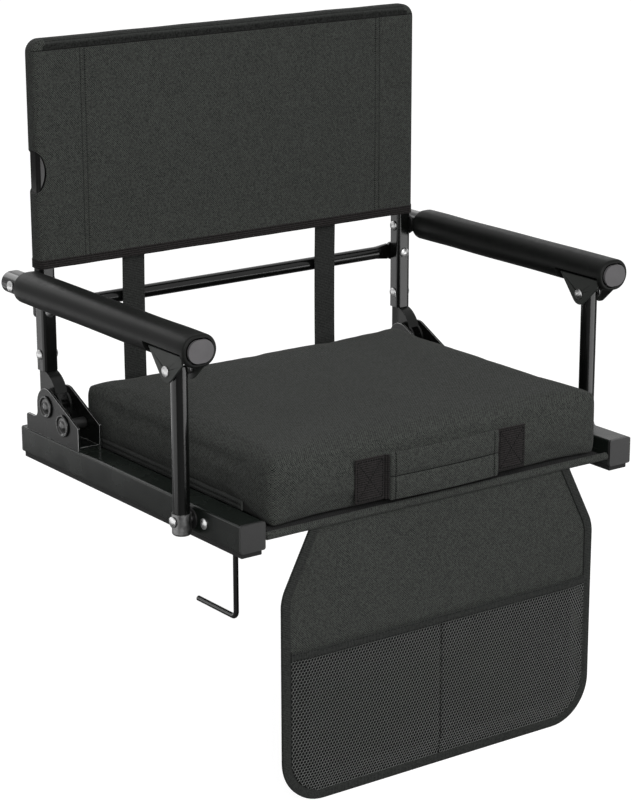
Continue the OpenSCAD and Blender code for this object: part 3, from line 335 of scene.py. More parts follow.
def foam_finish(name, colour):
    """Closed-cell foam with a soft skin: pores, faint mottling and a wide, dull shine"""
    mat, tree, place = new_finish(name, 0.42, specular=0.09)
    pores = add(tree, "TexVoronoi", {"Vector": place, "Scale": 1500.0})
    mottle = spread(tree, speckle(tree, place, 220.0, 4.0, 0.6), 0.3, 0.7)
    return wired(mat, shades(tree, mottle, colour, 0.82, 1.18),
                 bump(tree, plus(tree, pores, times(tree, mottle, 0.4)), 0.3, 0.00012),
                 spread(tree, mottle, 0.0, 1.0, 0.36, 0.48))


def make_finishes():
    c, s = bpy.context.scene.seat_colours, bpy.context.scene.seat_sizes
    return {
        "fabric": woven_finish("Charcoal cloth", c.cloth, s.weave),
        "lining_fabric": woven_finish("Black lining and net shade", c.lining, s.weave * 1.1, contrast=0.25),
        "trim_fabric": ribbed_finish("Binding tape", c.tape, s.tape_rib, "z"),
        "tape_run": ribbed_finish("Flap tape", c.tape, s.tape_rib, "run"),
        "tape_across": ribbed_finish("Hem tape", c.tape, s.tape_rib, "x"),
        "hem": ribbed_finish("Side hem tape", c.tape, s.tape_rib, "y"),
        "webbing": ribbed_finish("Strap webbing", c.webbing, s.rib, "z"),
        "handle_webbing": ribbed_finish("Webbing and sleeve inside shade", c.handle_webbing, s.rib * 1.25, "z", strength=1.0,
                                        contrast=1.0),
        "thread": ribbed_finish("Sewing thread", c.thread, 0.0004, "run", roughness=0.6),
        "mesh": woven_finish("Pocket net", c.net, 0.0006, contrast=0.3),
        "foam": foam_finish("Armrest foam", c.foam),
        "frame_paint": painted_finish("Gloss black paint", c.gloss, 0.17, 0.32),
        "rail_paint": painted_finish("Rail paint", c.rail, 0.26, 0.2),
        "bracket_paint": painted_finish("Bracket paint", c.bracket, 0.26, 0.17),
        "rivet_paint": painted_finish("Rivet paint", c.rivet, 0.17, 0.45),
        "yoke_paint": painted_finish("Yoke paint", c.yoke, 0.5, 0.2, 0.4),
        "hook_paint": painted_finish("Hook coating", c.gloss, 0.25, 0.45),
        "foot_cap_metal": metal_finish("Foot cap metal", c.foot_cap, 0.4),
        "rim_highlight": metal_finish("Rim highlight metal", c.rim_highlight, 0.35),
        "screw_steel": metal_finish("Zinc plate", c.zinc, 0.33),
        "cap_plastic": moulded_finish("Cap moulding", c.moulding, 0.45),
        "black_plastic": moulded_finish("Black moulding", c.black_moulding, 0.42),
        "plug_plastic": moulded_finish("Plug moulding", c.plug, 0.55),
        "foot_rubber": moulded_finish("Foot rubber", c.rubber, 0.75, 0.6),
    }


FINISH = {}


# ---- mesh helpers

def outward(bm):
    """Turns every face's front outward"""
    bmesh.ops.recalc_face_normals(bm, faces=bm.faces)
    return bm


def welded(bm):
    bmesh.ops.remove_doubles(bm, verts=bm.verts, dist=1e-6)
    return outward(bm)


def mesh_of(name, bm):
    """Moves a bmesh into a new mesh"""
    mesh = bpy.data.meshes.new(name)
    bm.to_mesh(mesh)
    bm.free()
    return mesh


def linked(name, data):
    obj = bpy.data.objects.new(name, data)
    bpy.context.scene.collection.objects.link(obj)
    return obj


def crisp(piece, angle):
    """Shades smooth, apart from edges sharper than angle degrees"""
    piece.data.shade_smooth()
    piece.data.set_sharp_from_angle(angle=math.radians(angle))


def finish_piece(name, bm, slot, finish=None, smooth=50.0):
    """Turns a bmesh into a shown piece with its finish"""
    piece = linked(name, mesh_of(name, bm))
    crisp(piece, smooth)
    piece.data.materials.append(FINISH[finish or slot])
    return piece


def repaint(piece, finish, test):
    """Gives the faces that the test picks another finish"""
    piece.data.materials.append(FINISH[finish])
    for face in piece.data.polygons:
        if test(face):
            face.material_index = len(piece.data.materials) - 1


def modifier(obj, label, kind, **settings):
    mod = obj.modifiers.new(label, kind)
    for key, value in settings.items():
        setattr(mod, key, value)
    return mod


def all_of(bm):
    return bm.verts[:] + bm.edges[:] + bm.faces[:]


def points_of(geometry):
    return [g for g in geometry if isinstance(g, bmesh.types.BMVert)]


def shift(bm, vec, verts=None):
    bmesh.ops.translate(bm, vec=vec, verts=bm.verts if verts is None else verts)


def stretch(bm, vec, verts=None):
    bmesh.ops.scale(bm, vec=vec, verts=bm.verts if verts is None else verts)


def quarter_turn(bm, axis):
    bmesh.ops.rotate(bm, matrix=Matrix.Rotation(math.radians(90), 3, axis), verts=bm.verts)


def thicken(bm, thickness):
    bmesh.ops.solidify(outward(bm), geom=bm.faces[:], thickness=thickness)


def pull(bm, vec):
    """Draws the faces out into a solid"""
    shift(bm, vec, points_of(bmesh.ops.extrude_face_region(bm, geom=bm.faces[:])["geom"]))
    outward(bm)


def cut_above(bm, z):
    bmesh.ops.bisect_plane(bm, geom=all_of(bm), dist=1e-7, plane_co=(0, 0, z), plane_no=(0, 0, 1),
                           clear_outer=True)


def drop_faces(bm, test):
    bmesh.ops.delete(bm, geom=[f for f in bm.faces if test(f)], context="FACES")


def wobble(x, y, z):
    return noise.noise(Vector((x, y, z)))


def limit(x, low=-1.0, high=1.0):
    return max(low, min(high, x))


def smooth_step(x):
    x = limit(x, 0.0)
    return x * x * (3 - 2 * x)


def steps(low, high, count):
    """The places that part a span into count equal lengths"""
    return [low + (high - low) * i / count for i in range(1, count)]


def span(edge, axis):
    """How far an edge runs along an axis"""
    return abs(edge.verts[0].co[axis] - edge.verts[1].co[axis])


def fold(edge):
    """The angle between an edge's two faces, 0 at a border"""
    return edge.calc_face_angle(0.0)


def block(low, high):
    """A box between two corners"""
    bm = bmesh.new()
    low, high = Vector(low), Vector(high)
    bmesh.ops.create_cube(bm, size=1.0)
    stretch(bm, high - low)
    shift(bm, (high + low) / 2)
    return bm


def round_edges(bm, width, segments, test):
    """Bevels the edges that the test picks"""
    bmesh.ops.bevel(bm, geom=[e for e in bm.edges if test(e)], offset=width, segments=segments, profile=0.5,
                    material=-1, affect="EDGES", clamp_overlap=True)


def slice_up(bm, axis, places):
    """Cuts the mesh across an axis at each place"""
    normal = [0.0, 0.0, 0.0]
    normal[axis] = 1.0
    for place in places:
        point = [0.0, 0.0, 0.0]
        point[axis] = place
        bmesh.ops.bisect_plane(bm, geom=all_of(bm), dist=1e-7, plane_co=point, plane_no=normal)


def mirrored(bm):
    """Adds the mesh's mirror image across X = 0"""
    copy = bmesh.ops.duplicate(bm, geom=all_of(bm))["geom"]
    stretch(bm, (-1, 1, 1), points_of(copy))
    bmesh.ops.reverse_faces(bm, faces=[g for g in copy if isinstance(g, bmesh.types.BMFace)])


def baked(piece):
    """Puts the piece's modifiers into its mesh"""
    bpy.context.view_layer.update()
    evaluated = piece.evaluated_get(bpy.context.evaluated_depsgraph_get())
    mesh = bpy.data.meshes.new_from_object(evaluated)
    piece.modifiers.clear()
    piece.data = mesh


def cut_away(piece, cutter_bm):
    """Cuts the cutter's shape out of the piece"""
    mesh = mesh_of("cutter", cutter_bm)
    cutter = linked("cutter", mesh)
    modifier(piece, "Cut", "BOOLEAN", object=cutter, operation="DIFFERENCE", solver="EXACT")
    baked(piece)
    bpy.data.objects.remove(cutter)
    bpy.data.meshes.remove(mesh)


def tube_along(points, radius, sides=10):
    """A round thread or cord along points, closed at both ends"""
    bm = bmesh.new()
    rings = []
    for i, p in enumerate(points):
        before = points[max(i - 1, 0)]
        after = points[min(i + 1, len(points) - 1)]
        along = (Vector(after) - Vector(before)).normalized()
        turn = along.to_track_quat("Z", "Y").to_matrix().to_4x4()
        ring = bmesh.ops.create_circle(bm, cap_ends=False, segments=sides, radius=radius,
                                       matrix=Matrix.Translation(p) @ turn)["verts"]
        rings.append(ring)
    for a, b in zip(rings, rings[1:]):
        bmesh.ops.bridge_loops(bm, edges=[e for e in bm.edges if any(all(v in ring for v in e.verts)
                                                                     for ring in (set(a), set(b)))])
    for ring in (rings[0], rings[-1]):
        bmesh.ops.contextual_create(bm, geom=ring)
    return welded(bm)


def join_bm(parts):
    """Puts several bmeshes in one"""
    bm = bmesh.new()
    for part in parts:
        mesh = mesh_of("part", part)
        bm.from_mesh(mesh)
        bpy.data.meshes.remove(mesh)
    return bm


def stitch_line(start, end, out, pitch, radius=0.00035):
    """A row of short raised stitches from start to end; out is the way that the cloth faces"""
    start, end, out = Vector(start), Vector(end), Vector(out)
    run = end - start
    count = max(2, int(run.length / pitch))
    bm = bmesh.new()
    turn = Matrix((run.normalized(), run.normalized().cross(out), out)).transposed().to_4x4()
    for i in range(count):
        middle = start + run * (i + 0.5) / count
        verts = bmesh.ops.create_icosphere(bm, subdivisions=1, radius=1.0)["verts"]
        stretch(bm, (pitch * 0.4, radius * 1.25, radius), verts)
        bmesh.ops.transform(bm, matrix=Matrix.Translation(middle) @ turn, verts=verts)
    return bm


def mark_run(piece, run_of):
    """Stores how far along its length each point of a tape lies, for the tape's ribs"""
    attribute = piece.data.attributes.new("run", "FLOAT", "POINT")
    attribute.data.foreach_set("value", [run_of(v.co) for v in piece.data.vertices])


# ---- rigid parts

def make_metalwork(sizes):
    width = sizes.metal_edge
    slots = {s["node"]: s["material_slot"] for s in frame["record"]["subparts"]}
    wide = {"end_caps": 1.3, "bracket": 1.5, "tongue": 1.5, "yoke": 0.8, "post_cap": 1.0, "foot_strip": 0.5,
            "sockets": 1.5, "washers": 0.8, "spacers": 0.8, "plug": 3.4}
    for name, obj in frame["nodes"].items():
        obj.data.materials.clear()
        obj.data.materials.append(FINISH[slots[name]])
        modifier(obj, "Weld", "WELD", merge_threshold=1e-6)
        rim_shine = "bracket" in name or "tongue" in name
        if rim_shine:
            # whole flat faces, so that the plates' rims can be rounded further
            modifier(obj, "Whole faces", "DECIMATE", decimate_type="DISSOLVE", angle_limit=math.radians(2))
        factor = next((f for key, f in wide.items() if key in name and "yoke_pin" not in name), 0.5)
        roll = modifier(obj, "Rolled edge", "BEVEL", width=width * factor, segments=3 if factor > 1.5 else 2,
                        limit_method="ANGLE", angle_limit=math.radians(38), harden_normals=False)
        # painted highlight: the rolled rims of the hinge plates and tongues get the bright metal finish,
        # which stands in for the shine along their edges
        if rim_shine:
            obj.data.materials.append(FINISH["rim_highlight"])
            roll.material = 1
        modifier(obj, "Shade", "WEIGHTED_NORMAL", keep_sharp=False)
        obj.data.shade_smooth()


class SEAT_OT_metalwork(bpy.types.Operator):
    """Finish the rails, hinges, tubes, hooks and fasteners, with rolled edges on sheet and tube"""
    bl_idname = "seat.metalwork"
    bl_label = "Metalwork"

    def execute(self, context):
        make_metalwork(context.scene.seat_sizes)
        return {"FINISHED"}


# ---- seat

def stuffed(piece, voxel, pressure, cap, frames=16):
    """Swells the piece like a stuffed cover: a short cloth run with air pressure, in which no point moves
    more than cap"""
    modifier(piece, "Even mesh", "REMESH", mode="VOXEL", voxel_size=voxel)
    baked(piece)
    rest = [v.co.copy() for v in piece.data.vertices]
    cloth = piece.modifiers.new("Stuffing", "CLOTH")
    stiffness = 25
    for key, value in {"use_pressure": True, "uniform_pressure_force": pressure, "quality": 5,
                       "tension_stiffness": stiffness, "compression_stiffness": stiffness}.items():
        setattr(cloth.settings, key, value)
    cloth.settings.effector_weights.gravity = 0.0
    cloth.collision_settings.use_collision = False
    cloth.point_cache.frame_start = 1
    cloth.point_cache.frame_end = frames
    scene = bpy.context.scene
    for f in range(1, frames + 1):
        scene.frame_set(f)
    evaluated = piece.evaluated_get(bpy.context.evaluated_depsgraph_get())
    swollen = [v.co.copy() for v in evaluated.data.vertices]
    piece.modifiers.clear()
    scene.frame_set(1)
    for v, a, b in zip(piece.data.vertices, rest, swollen):
        move = b - a
        v.co = a + (move if move.length <= cap else move.normalized() * cap)


def make_cushion(sizes):
    low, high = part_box("seat_cushion")
    crown = 0.0048
    # the swelling takes up the inset
    inset = 0.0018
    top = high.z - crown - inset
    bm = block((low.x + inset, low.y + inset, low.z), (high.x - inset, high.y - inset, top))
    round_edges(bm, sizes.cushion_corner, 5, lambda e: span(e, Z) > 0.01)
    round_edges(bm, sizes.cushion_edge, 5,
                lambda e: fold(e) > 0.5 and min(v.co.z for v in e.verts) > top - 1e-5)
    under_edge = 0.0022
    round_edges(bm, under_edge, 2, lambda e: fold(e) > 0.5 and max(v.co.z for v in e.verts) < low.z + 1e-5)
    slice_up(bm, X, steps(low.x, high.x, 36))
    slice_up(bm, Y, steps(low.y, high.y, 30))
    slice_up(bm, Z, steps(low.z, top, 7))
    piece = finish_piece("cushion", welded(bm), "fabric")
    middle = (low + high) / 2
    half = (high - low) / 2
    stuffed(piece, voxel=0.005, pressure=3.0, cap=sizes.cushion_swell)
    for v in piece.data.vertices:
        u = (v.co.x - middle.x) / half.x
        w = (v.co.y - middle.y) / half.y
        rise = (v.co.z - low.z) / (top - low.z)
        bulge = max(0.0, (1 - u ** 2)) * max(0.0, (1 - w ** 2))
        v.co.z += crown * 0.8 * bulge * smooth_step(rise * 1.2)
        # the boxed sides pull in a little between the corners
        waist = 1 - abs(2 * rise - 1)
        v.co.x -= math.copysign(0.0012, u) * (1 - w ** 2) * abs(u) ** 8 * waist
        v.co.y -= math.copysign(0.0010, w) * (1 - u ** 2) * abs(w) ** 8 * waist
        soft = wobble(v.co.x * 22, v.co.y * 22, v.co.z * 22)
        fine = wobble(v.co.x * 70 + 5, v.co.y * 70, v.co.z * 70)
        v.co += v.normal * (soft * 0.0006 + fine * 0.00022)
    spare = 0.001
    for v in piece.data.vertices:
        v.co.x = limit(v.co.x, middle.x - half.x - spare, middle.x + half.x + spare)
        v.co.y = limit(v.co.y, low.y - 0.0001, high.y + spare)
        v.co.z = limit(v.co.z, low.z, high.z + spare)
    modifier(piece, "Smooth", "SUBSURF", levels=1, render_levels=1)
    piece.data.shade_smooth()
    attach(piece, "base")
    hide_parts("seat_cushion")


class SEAT_OT_cushion(bpy.types.Operator):
    """Sew and stuff the seat cushion, a firm foam block in a boxed cloth cover"""
    bl_idname = "seat.cushion"
    bl_label = "Seat cushion"

    def execute(self, context):
        make_cushion(context.scene.seat_sizes)
        return {"FINISHED"}


def make_seat_edges(sizes):
    low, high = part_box("seat_deck")
    bm = bmesh.new()
    bmesh.ops.create_grid(bm, x_segments=60, y_segments=50, size=0.5)
    stretch(bm, (high.x - low.x, high.y - low.y, 1))
    shift(bm, ((low.x + high.x) / 2, (low.y + high.y) / 2, high.z - 0.0016))
    # two slots at the rear let the back straps through
    slot_x, slot_half, slot_deep = 0.1113, 0.014, 0.024
    drop_faces(bm, lambda f: abs(abs(f.calc_center_median().x) - slot_x) < slot_half
               and f.calc_center_median().y > high.y - slot_deep)
    for v in bm.verts:
        v.co.z += min(0.0005, 0.0012 * wobble(v.co.x * 12, v.co.y * 12, 3.0))
    bmesh.ops.solidify(bm, geom=bm.faces[:], thickness=0.0012)
    deck = finish_piece("deck_cloth", welded(bm), "lining_fabric")
    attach(deck, "base")
    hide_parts("seat_deck")

    low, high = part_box("front_roll")
    r = (high.z - low.z) / 2 * 0.86
    y, z = (low.y + high.y) / 2, high.z + 0.0004 - r
    count = 90
    reach = high.x + 0.0018
    bm = tube_along([(-reach + 2 * reach * i / count, y, z) for i in range(count + 1)], r, 20)
    round_edges(bm, r * 0.3, 3, lambda e: fold(e) > 1.0)
    for v in bm.verts:
        away = Vector((0, v.co.y - y, v.co.z - z))
        turn = math.atan2(away.z, away.y)
        # the cloth's edge is sewn down in a shallow groove along the roll's upper rear
        groove = math.exp(-((turn - 2.2) / 0.18) ** 2)
        v.co -= away * (0.16 * groove + 0.03 * wobble(v.co.x * 60, turn * 2, 0) + 0.02)
    roll = finish_piece("front_edge_roll", welded(bm), "fabric")
    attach(roll, "base")
    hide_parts("front_roll")

    low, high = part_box("side_hems")
    thick = 0.0024
    bm = block((high.x - thick, low.y, low.z), high)
    slice_up(bm, Y, steps(low.y, high.y, 60))
    shares = (0.06, 0.2, 0.34, 0.44, 0.5, 0.56, 0.66, 0.8, 0.94)
    slice_up(bm, Z, [low.z + (high.z - low.z) * share for share in shares])
    for v in bm.verts:
        share = (v.co.z - low.z) / (high.z - low.z)
        ridge = 0.45 + 0.55 * abs(math.sin(2 * math.pi * share)) ** 0.6
        if v.co.x > high.x - thick / 2:
            v.co.x = high.x - thick + thick * ridge
        v.co.z += 0.0004 * wobble(0.3, v.co.y * 40, 1.0)
    mirrored(bm)
    hems = finish_piece("side_hem_tape", bm, "trim_fabric", "hem", smooth=60)
    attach(hems, "base")
    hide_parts("side_hems")
    rows = []
    for side in (-1, 1):
        x = side * (high.x - 0.0001)
        for z in (low.z + (high.z - low.z) * share for share in (0.27, 0.73)):
            rows.append(stitch_line((x, low.y + 0.004, z), (x, high.y - 0.004, z), (side, 0, 0),
                                    sizes.stitch))
    thread = finish_piece("hem_stitches", join_bm(rows), "trim_fabric", "thread")
    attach(thread, "base")


class SEAT_OT_seat_edges(bpy.types.Operator):
    """Lay the deck under the cushion, roll the cloth along its front and hem its sides"""
    bl_idname = "seat.seat_edges"
    bl_label = "Deck, roll and hems"

    def execute(self, context):
        make_seat_edges(context.scene.seat_sizes)
        return {"FINISHED"}


def make_carry_handle():
    low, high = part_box("carry_handle")
    cushion_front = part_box("seat_cushion")[0].y
    centre = (low + high) / 2
    chord = (high.x - low.x) / 2
    half = (high.z - low.z) / 2 + 0.0024
    seam, groove, line = chord - 0.0041, 0.0006, 0.0004
    end, thick, swell = chord + 0.001, 0.0034, 0.0007
    bm = block((-end, -thick / 2, -half), (end, thick / 2, half))
    round_edges(bm, 0.0015, 3, lambda e: fold(e) > 0.5)
    slice_up(bm, X, steps(-chord, chord, 44))
    slice_up(bm, Z, [-0.0010, -0.0004, 0.0004, 0.0010] + [half * f for f in (-0.6, -0.3, 0.3, 0.6)])
    slice_up(bm, X, [s * (chord - d) for s in (-1, 1) for d in (0.0032, 0.0037, 0.0045, 0.0050)])
    for v in bm.verts:
        share = v.co.x / chord
        front = v.co.y < 0
        if front and (abs(v.co.z) < groove or abs(abs(v.co.x) - seam) < groove):
            v.co.y += swell
        puff = swell * (1 - (2 * abs(v.co.z) / half - 1) ** 2) * (-1 if front else 0)
        v.co.y += puff + 0.0003 * wobble(v.co.x * 60, v.co.z * 60, 2.0)
        v.co.y += cushion_front - 0.0052 - 0.0022 * (1 - share ** 2)
    shift(bm, (centre.x, 0, centre.z))
    grip = finish_piece("grip_pad", welded(bm), "fabric")
    repaint(grip, "thread", lambda f: f.normal.y < -0.3 and (
        abs(f.center.z - centre.z) < line or abs(abs(f.center.x - centre.x) - seam) < line))
    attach(grip, "base")
    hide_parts("carry_handle")

    tab_low, tab_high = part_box("handle_tabs")
    near = chord + 0.0044
    outer = (tab_high.x - tab_low.x) / 2
    z0, z1 = tab_low.z - 0.0010, tab_high.z + 0.0010
    bm = block((near, cushion_front - 0.0021, z0), (outer, cushion_front - 0.0003, z1))
    round_edges(bm, 0.0005, 2, lambda e: fold(e) > 0.5)
    # the webbing folds over itself in three upright ridges before it meets the grip
    ridges = []
    for k, depth in enumerate((0.0026, 0.0042, 0.0050)):
        x0, step_y, step_z = near - 0.0004 - 0.0017 * k, 0.0008, 0.0003 * k
        ridge = block((x0 - 0.0014, cushion_front - depth - step_y, z0 + step_z),
                      (x0, cushion_front - 0.0004 - step_y * k, z1 - step_z))
        round_edges(ridge, 0.0006, 3, lambda e: span(e, Z) > 0.01)
        ridges.append(ridge)
    bm = join_bm([bm] + ridges)
    slice_up(bm, Z, steps(z0, z1, 24))
    mirrored(bm)
    shift(bm, (centre.x, 0, 0))
    tabs = finish_piece("handle_tab_webbing", bm, "handle_webbing")
    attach(tabs, "base")
    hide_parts("handle_tabs")
    # a stitched box with a cross in it
    a, b = near + 0.0022, outer - 0.0022
    c, d = z0 + 0.0024, z1 - 0.0024
    y = cushion_front - 0.0022
    lines = ((a, c, b, c), (b, c, b, d), (b, d, a, d), (a, d, a, c), (a, c, b, d), (a, d, b, c))
    rows = [stitch_line((centre.x + side * px, y, pz), (centre.x + side * qx, y, qz), (0, -1, 0),
                        0.0026, 0.00042) for side in (-1, 1) for px, pz, qx, qz in lines]
    thread = finish_piece("tab_stitches", join_bm(rows), "handle_webbing", "thread")
    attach(thread, "base")


class SEAT_OT_carry_handle(bpy.types.Operator):
    """Sew the bowed grip, its webbing tabs and their crossed stitching"""
    bl_idname = "seat.carry_handle"
    bl_label = "Carry handle"

    def execute(self, context):
        make_carry_handle()
        return {"FINISHED"}


# ---- back

def sleeve_block(half, front, rear, bottom, top, edge, corner):
    """A flat bag, open below: rounded side edges, and top corners that follow the tube's elbows"""
    bm = block((-half, front, bottom), (half, rear, top))
    drop_faces(bm, lambda f: f.normal.z < -0.9)
    round_edges(bm, corner, 8, lambda e: span(e, Y) > 0.01 and min(v.co.z for v in e.verts) > top - 1e-5)
    round_edges(bm, edge, 5, lambda e: span(e, Y) < 1e-6 and not e.is_boundary and fold(e) > 0.5)
    return bm


def make_back_sleeve(sizes):
    low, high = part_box("back_sleeve")
    hem_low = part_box("sleeve_bindings")[0].z - 0.0017
    bottom = hem_low + 0.0076
    half = high.x + 0.0002
    top = high.z
    middle_y = (low.y + high.y) / 2
    seams = (-0.1676, -0.1629, 0.1672, 0.1722)
    groove, line, corner = 0.0006, 0.0003, 0.0125
    bm = sleeve_block(half, low.y, high.y, bottom, top, sizes.sleeve_edge, corner)
    slice_up(bm, X, steps(-half, half, 44))
    slice_up(bm, X, [x + d for x in seams for d in (-0.0008, -line, line, 0.0008)])
    slice_up(bm, Z, steps(bottom, top - 0.014, 24))
    seam_z = top - 0.0098
    slice_up(bm, Z, [seam_z - 0.0009, seam_z - line, seam_z + line, seam_z + 0.0009, top - corner])
    for v in bm.verts:
        face = v.co.y < low.y + 0.0004 or v.co.y > high.y - 0.0004
        sign = -1 if v.co.y < middle_y else 1
        if face and v.co.z < seam_z:
            if any(abs(v.co.x - x) < groove for x in seams):
                v.co.y -= sign * groove
            share = (v.co.z - bottom) / (seam_z - bottom)
            middle = max(0.0, 1 - (abs(v.co.x) / 0.163) ** 2)
            # the panel is drawn tight over the frame, and hollows a little between the uprights
            v.co.y -= sign * 0.0011 * middle * math.sin(math.pi * limit(share, 0.0))
            v.co.y += sign * 0.0005 * wobble(v.co.x * 16, sign, v.co.z * 16)
        if abs(v.co.z - seam_z) < groove and abs(v.co.x) < half - 0.004:
            v.co.y -= sign * 0.0010
        if v.co.z > seam_z + 0.0012 and abs(v.co.x) < half - 0.012:
            v.co.z += 0.0003 * wobble(v.co.x * 30, v.co.y * 30, 7)
    thicken(bm, 0.0009)
    sleeve = finish_piece("back_cloth", welded(bm), "fabric", smooth=35)
    # the gusset round the top edge is of tape
    repaint(sleeve, "hem", lambda f: f.center.z > seam_z and abs(f.center.x) < half - 0.013)
    # the scoop in the sleeve's left side
    scoop_low, scoop_high = 0.2525, 0.3005
    cutter = bmesh.new()
    bmesh.ops.create_cone(cutter, cap_ends=True, segments=48, radius1=0.5, radius2=0.5, depth=0.06)
    stretch(cutter, (0.043, scoop_high - scoop_low, 1))
    quarter_turn(cutter, "X")
    shift(cutter, (-half - 0.012, middle_y, (scoop_low + scoop_high) / 2))
    outward(cutter)
    cut_away(sleeve, cutter)
    # tape in the seams, thread under the gusset, and painted shade inside: the faces that face into the
    # sleeve get the darker webbing finish
    tape, thread, painted_shade_inside = 1, 2, 3
    sleeve.data.materials.append(FINISH["thread"])
    # painted shade: this darker finish on the sleeve's inner faces stands in for the shade inside the sleeve
    sleeve.data.materials.append(FINISH["handle_webbing"])
    for face in sleeve.data.polygons:
        away = face.center.y - middle_y
        if face.normal.y * away < -0.002:
            face.material_index = painted_shade_inside
        elif face.center.z < seam_z and min(abs(face.center.x - x) for x in seams) < line:
            face.material_index = tape
        elif abs(face.center.z - seam_z) < line and away < 0:
            face.material_index = thread
    crisp(sleeve, 35)
    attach(sleeve, "back")
    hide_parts("back_sleeve")

    # the hem lies round the sleeve's lower edge
    proud = 0.0004
    bm = block((-half - 0.0003, low.y - proud, hem_low), (half + 0.0003, high.y + proud, bottom + 0.0006))
    drop_faces(bm, lambda f: abs(f.normal.z) > 0.9)
    round_edges(bm, sizes.sleeve_edge, 5, lambda e: span(e, Z) > 0.004)
    slice_up(bm, X, steps(-half, half, 60))
    slice_up(bm, Z, steps(hem_low, bottom, 3))
    for v in bm.verts:
        v.co.z += 0.00035 * wobble(v.co.x * 35, v.co.y * 10, 4)
    thicken(bm, 0.0013)
    hem = finish_piece("sleeve_hem", welded(bm), "trim_fabric", "handle_webbing", smooth=40)
    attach(hem, "back")
    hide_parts("sleeve_bindings")

    rows = [stitch_line((x, y, bottom + 0.002), (x, y, seam_z - 0.001), (0, out, 0), sizes.stitch, 0.0002)
            for x in seams for y, out in ((low.y + 0.0005, -1), (high.y - 0.0005, 1))]
    for y, out in ((low.y - proud, -1), (high.y + proud, 1)):
        rows.append(stitch_line((-half + 0.008, y, bottom - 0.0008), (half - 0.008, y, bottom - 0.0008),
                                (0, out, 0), sizes.stitch, 0.0003))
    thread = finish_piece("sleeve_stitches", join_bm(rows), "fabric", "thread")
    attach(thread, "back")


class SEAT_OT_back_sleeve(bpy.types.Operator):
    """Sew the back's cloth sleeve with its top gusset, double side stitching, hem and side scoop"""
    bl_idname = "seat.back_sleeve"
    bl_label = "Back sleeve"

    def execute(self, context):
        make_back_sleeve(context.scene.seat_sizes)
        return {"FINISHED"}


def make_back_straps():
    for side_name, _ in SIDES:
        node = side_name + "_back_strap"
        low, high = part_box(node)
        tube_low, tube_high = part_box("rear_cross_tube")
        y, half_thick, tuck = 0.150, 0.0008, 0.006
        foot = tube_high.z + 0.0012
        bm = block((low.x, y - half_thick, foot), (high.x, y + half_thick, high.z + tuck))
        round_edges(bm, 0.0005, 2, lambda e: span(e, Z) > 0.02)
        slice_up(bm, Z, steps(foot, high.z, 50))
        slice_up(bm, X, steps(low.x, high.x, 4))
        for v in bm.verts:
            share = (v.co.z - foot) / (high.z - foot)
            v.co.y += 0.0012 * math.sin(math.pi * share) + 0.0003 * wobble(0, 0, v.co.z * 30)
        # the webbing loops round the tube and is sewn to itself
        loop = bmesh.new()
        bmesh.ops.create_circle(loop, cap_ends=False, segments=40, radius=1.0)
        quarter_turn(loop, "Y")
        half_y, half_z = (tube_high.y - tube_low.y) / 2, (tube_high.z - tube_low.z) / 2
        clear = 0.0009
        centre = (tube_low + tube_high) / 2
        for v in loop.verts:
            v.co.y = centre.y + limit(v.co.y * 1.9) * (half_y - half_z) + v.co.y * (half_z + clear)
            v.co.z = centre.z + v.co.z * (half_z + clear)
            v.co.x = low.x
        ring = bmesh.ops.extrude_edge_only(loop, edges=loop.edges[:])["geom"]
        shift(loop, (high.x - low.x, 0, 0), points_of(ring))
        thicken(loop, -0.0015)
        piece = finish_piece(side_name + "_strap_webbing", welded(join_bm([bm, loop])), "webbing", smooth=40)
        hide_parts(node)
        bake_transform(piece)


class SEAT_OT_back_straps(bpy.types.Operator):
    """Run the two webbing straps from the sleeve down to the rear cross tube"""
    bl_idname = "seat.back_straps"
    bl_label = "Back straps"

    def execute(self, context):
        make_back_straps()
        return {"FINISHED"}


# ---- armrests

def oval_bar(sides, half_x, half_z, start, length):
    """A bar along Y whose section is a circle drawn out sideways"""
    bm = bmesh.new()
    bmesh.ops.create_circle(bm, cap_ends=True, segments=sides, radius=1.0)
    quarter_turn(bm, "X")
    for v in bm.verts:
        v.co.x = v.co.x * half_z + limit(v.co.x * 6) * (half_x - half_z)
        v.co.z *= half_z
    shift(bm, start)
    pull(bm, (0, length, 0))
    return bm


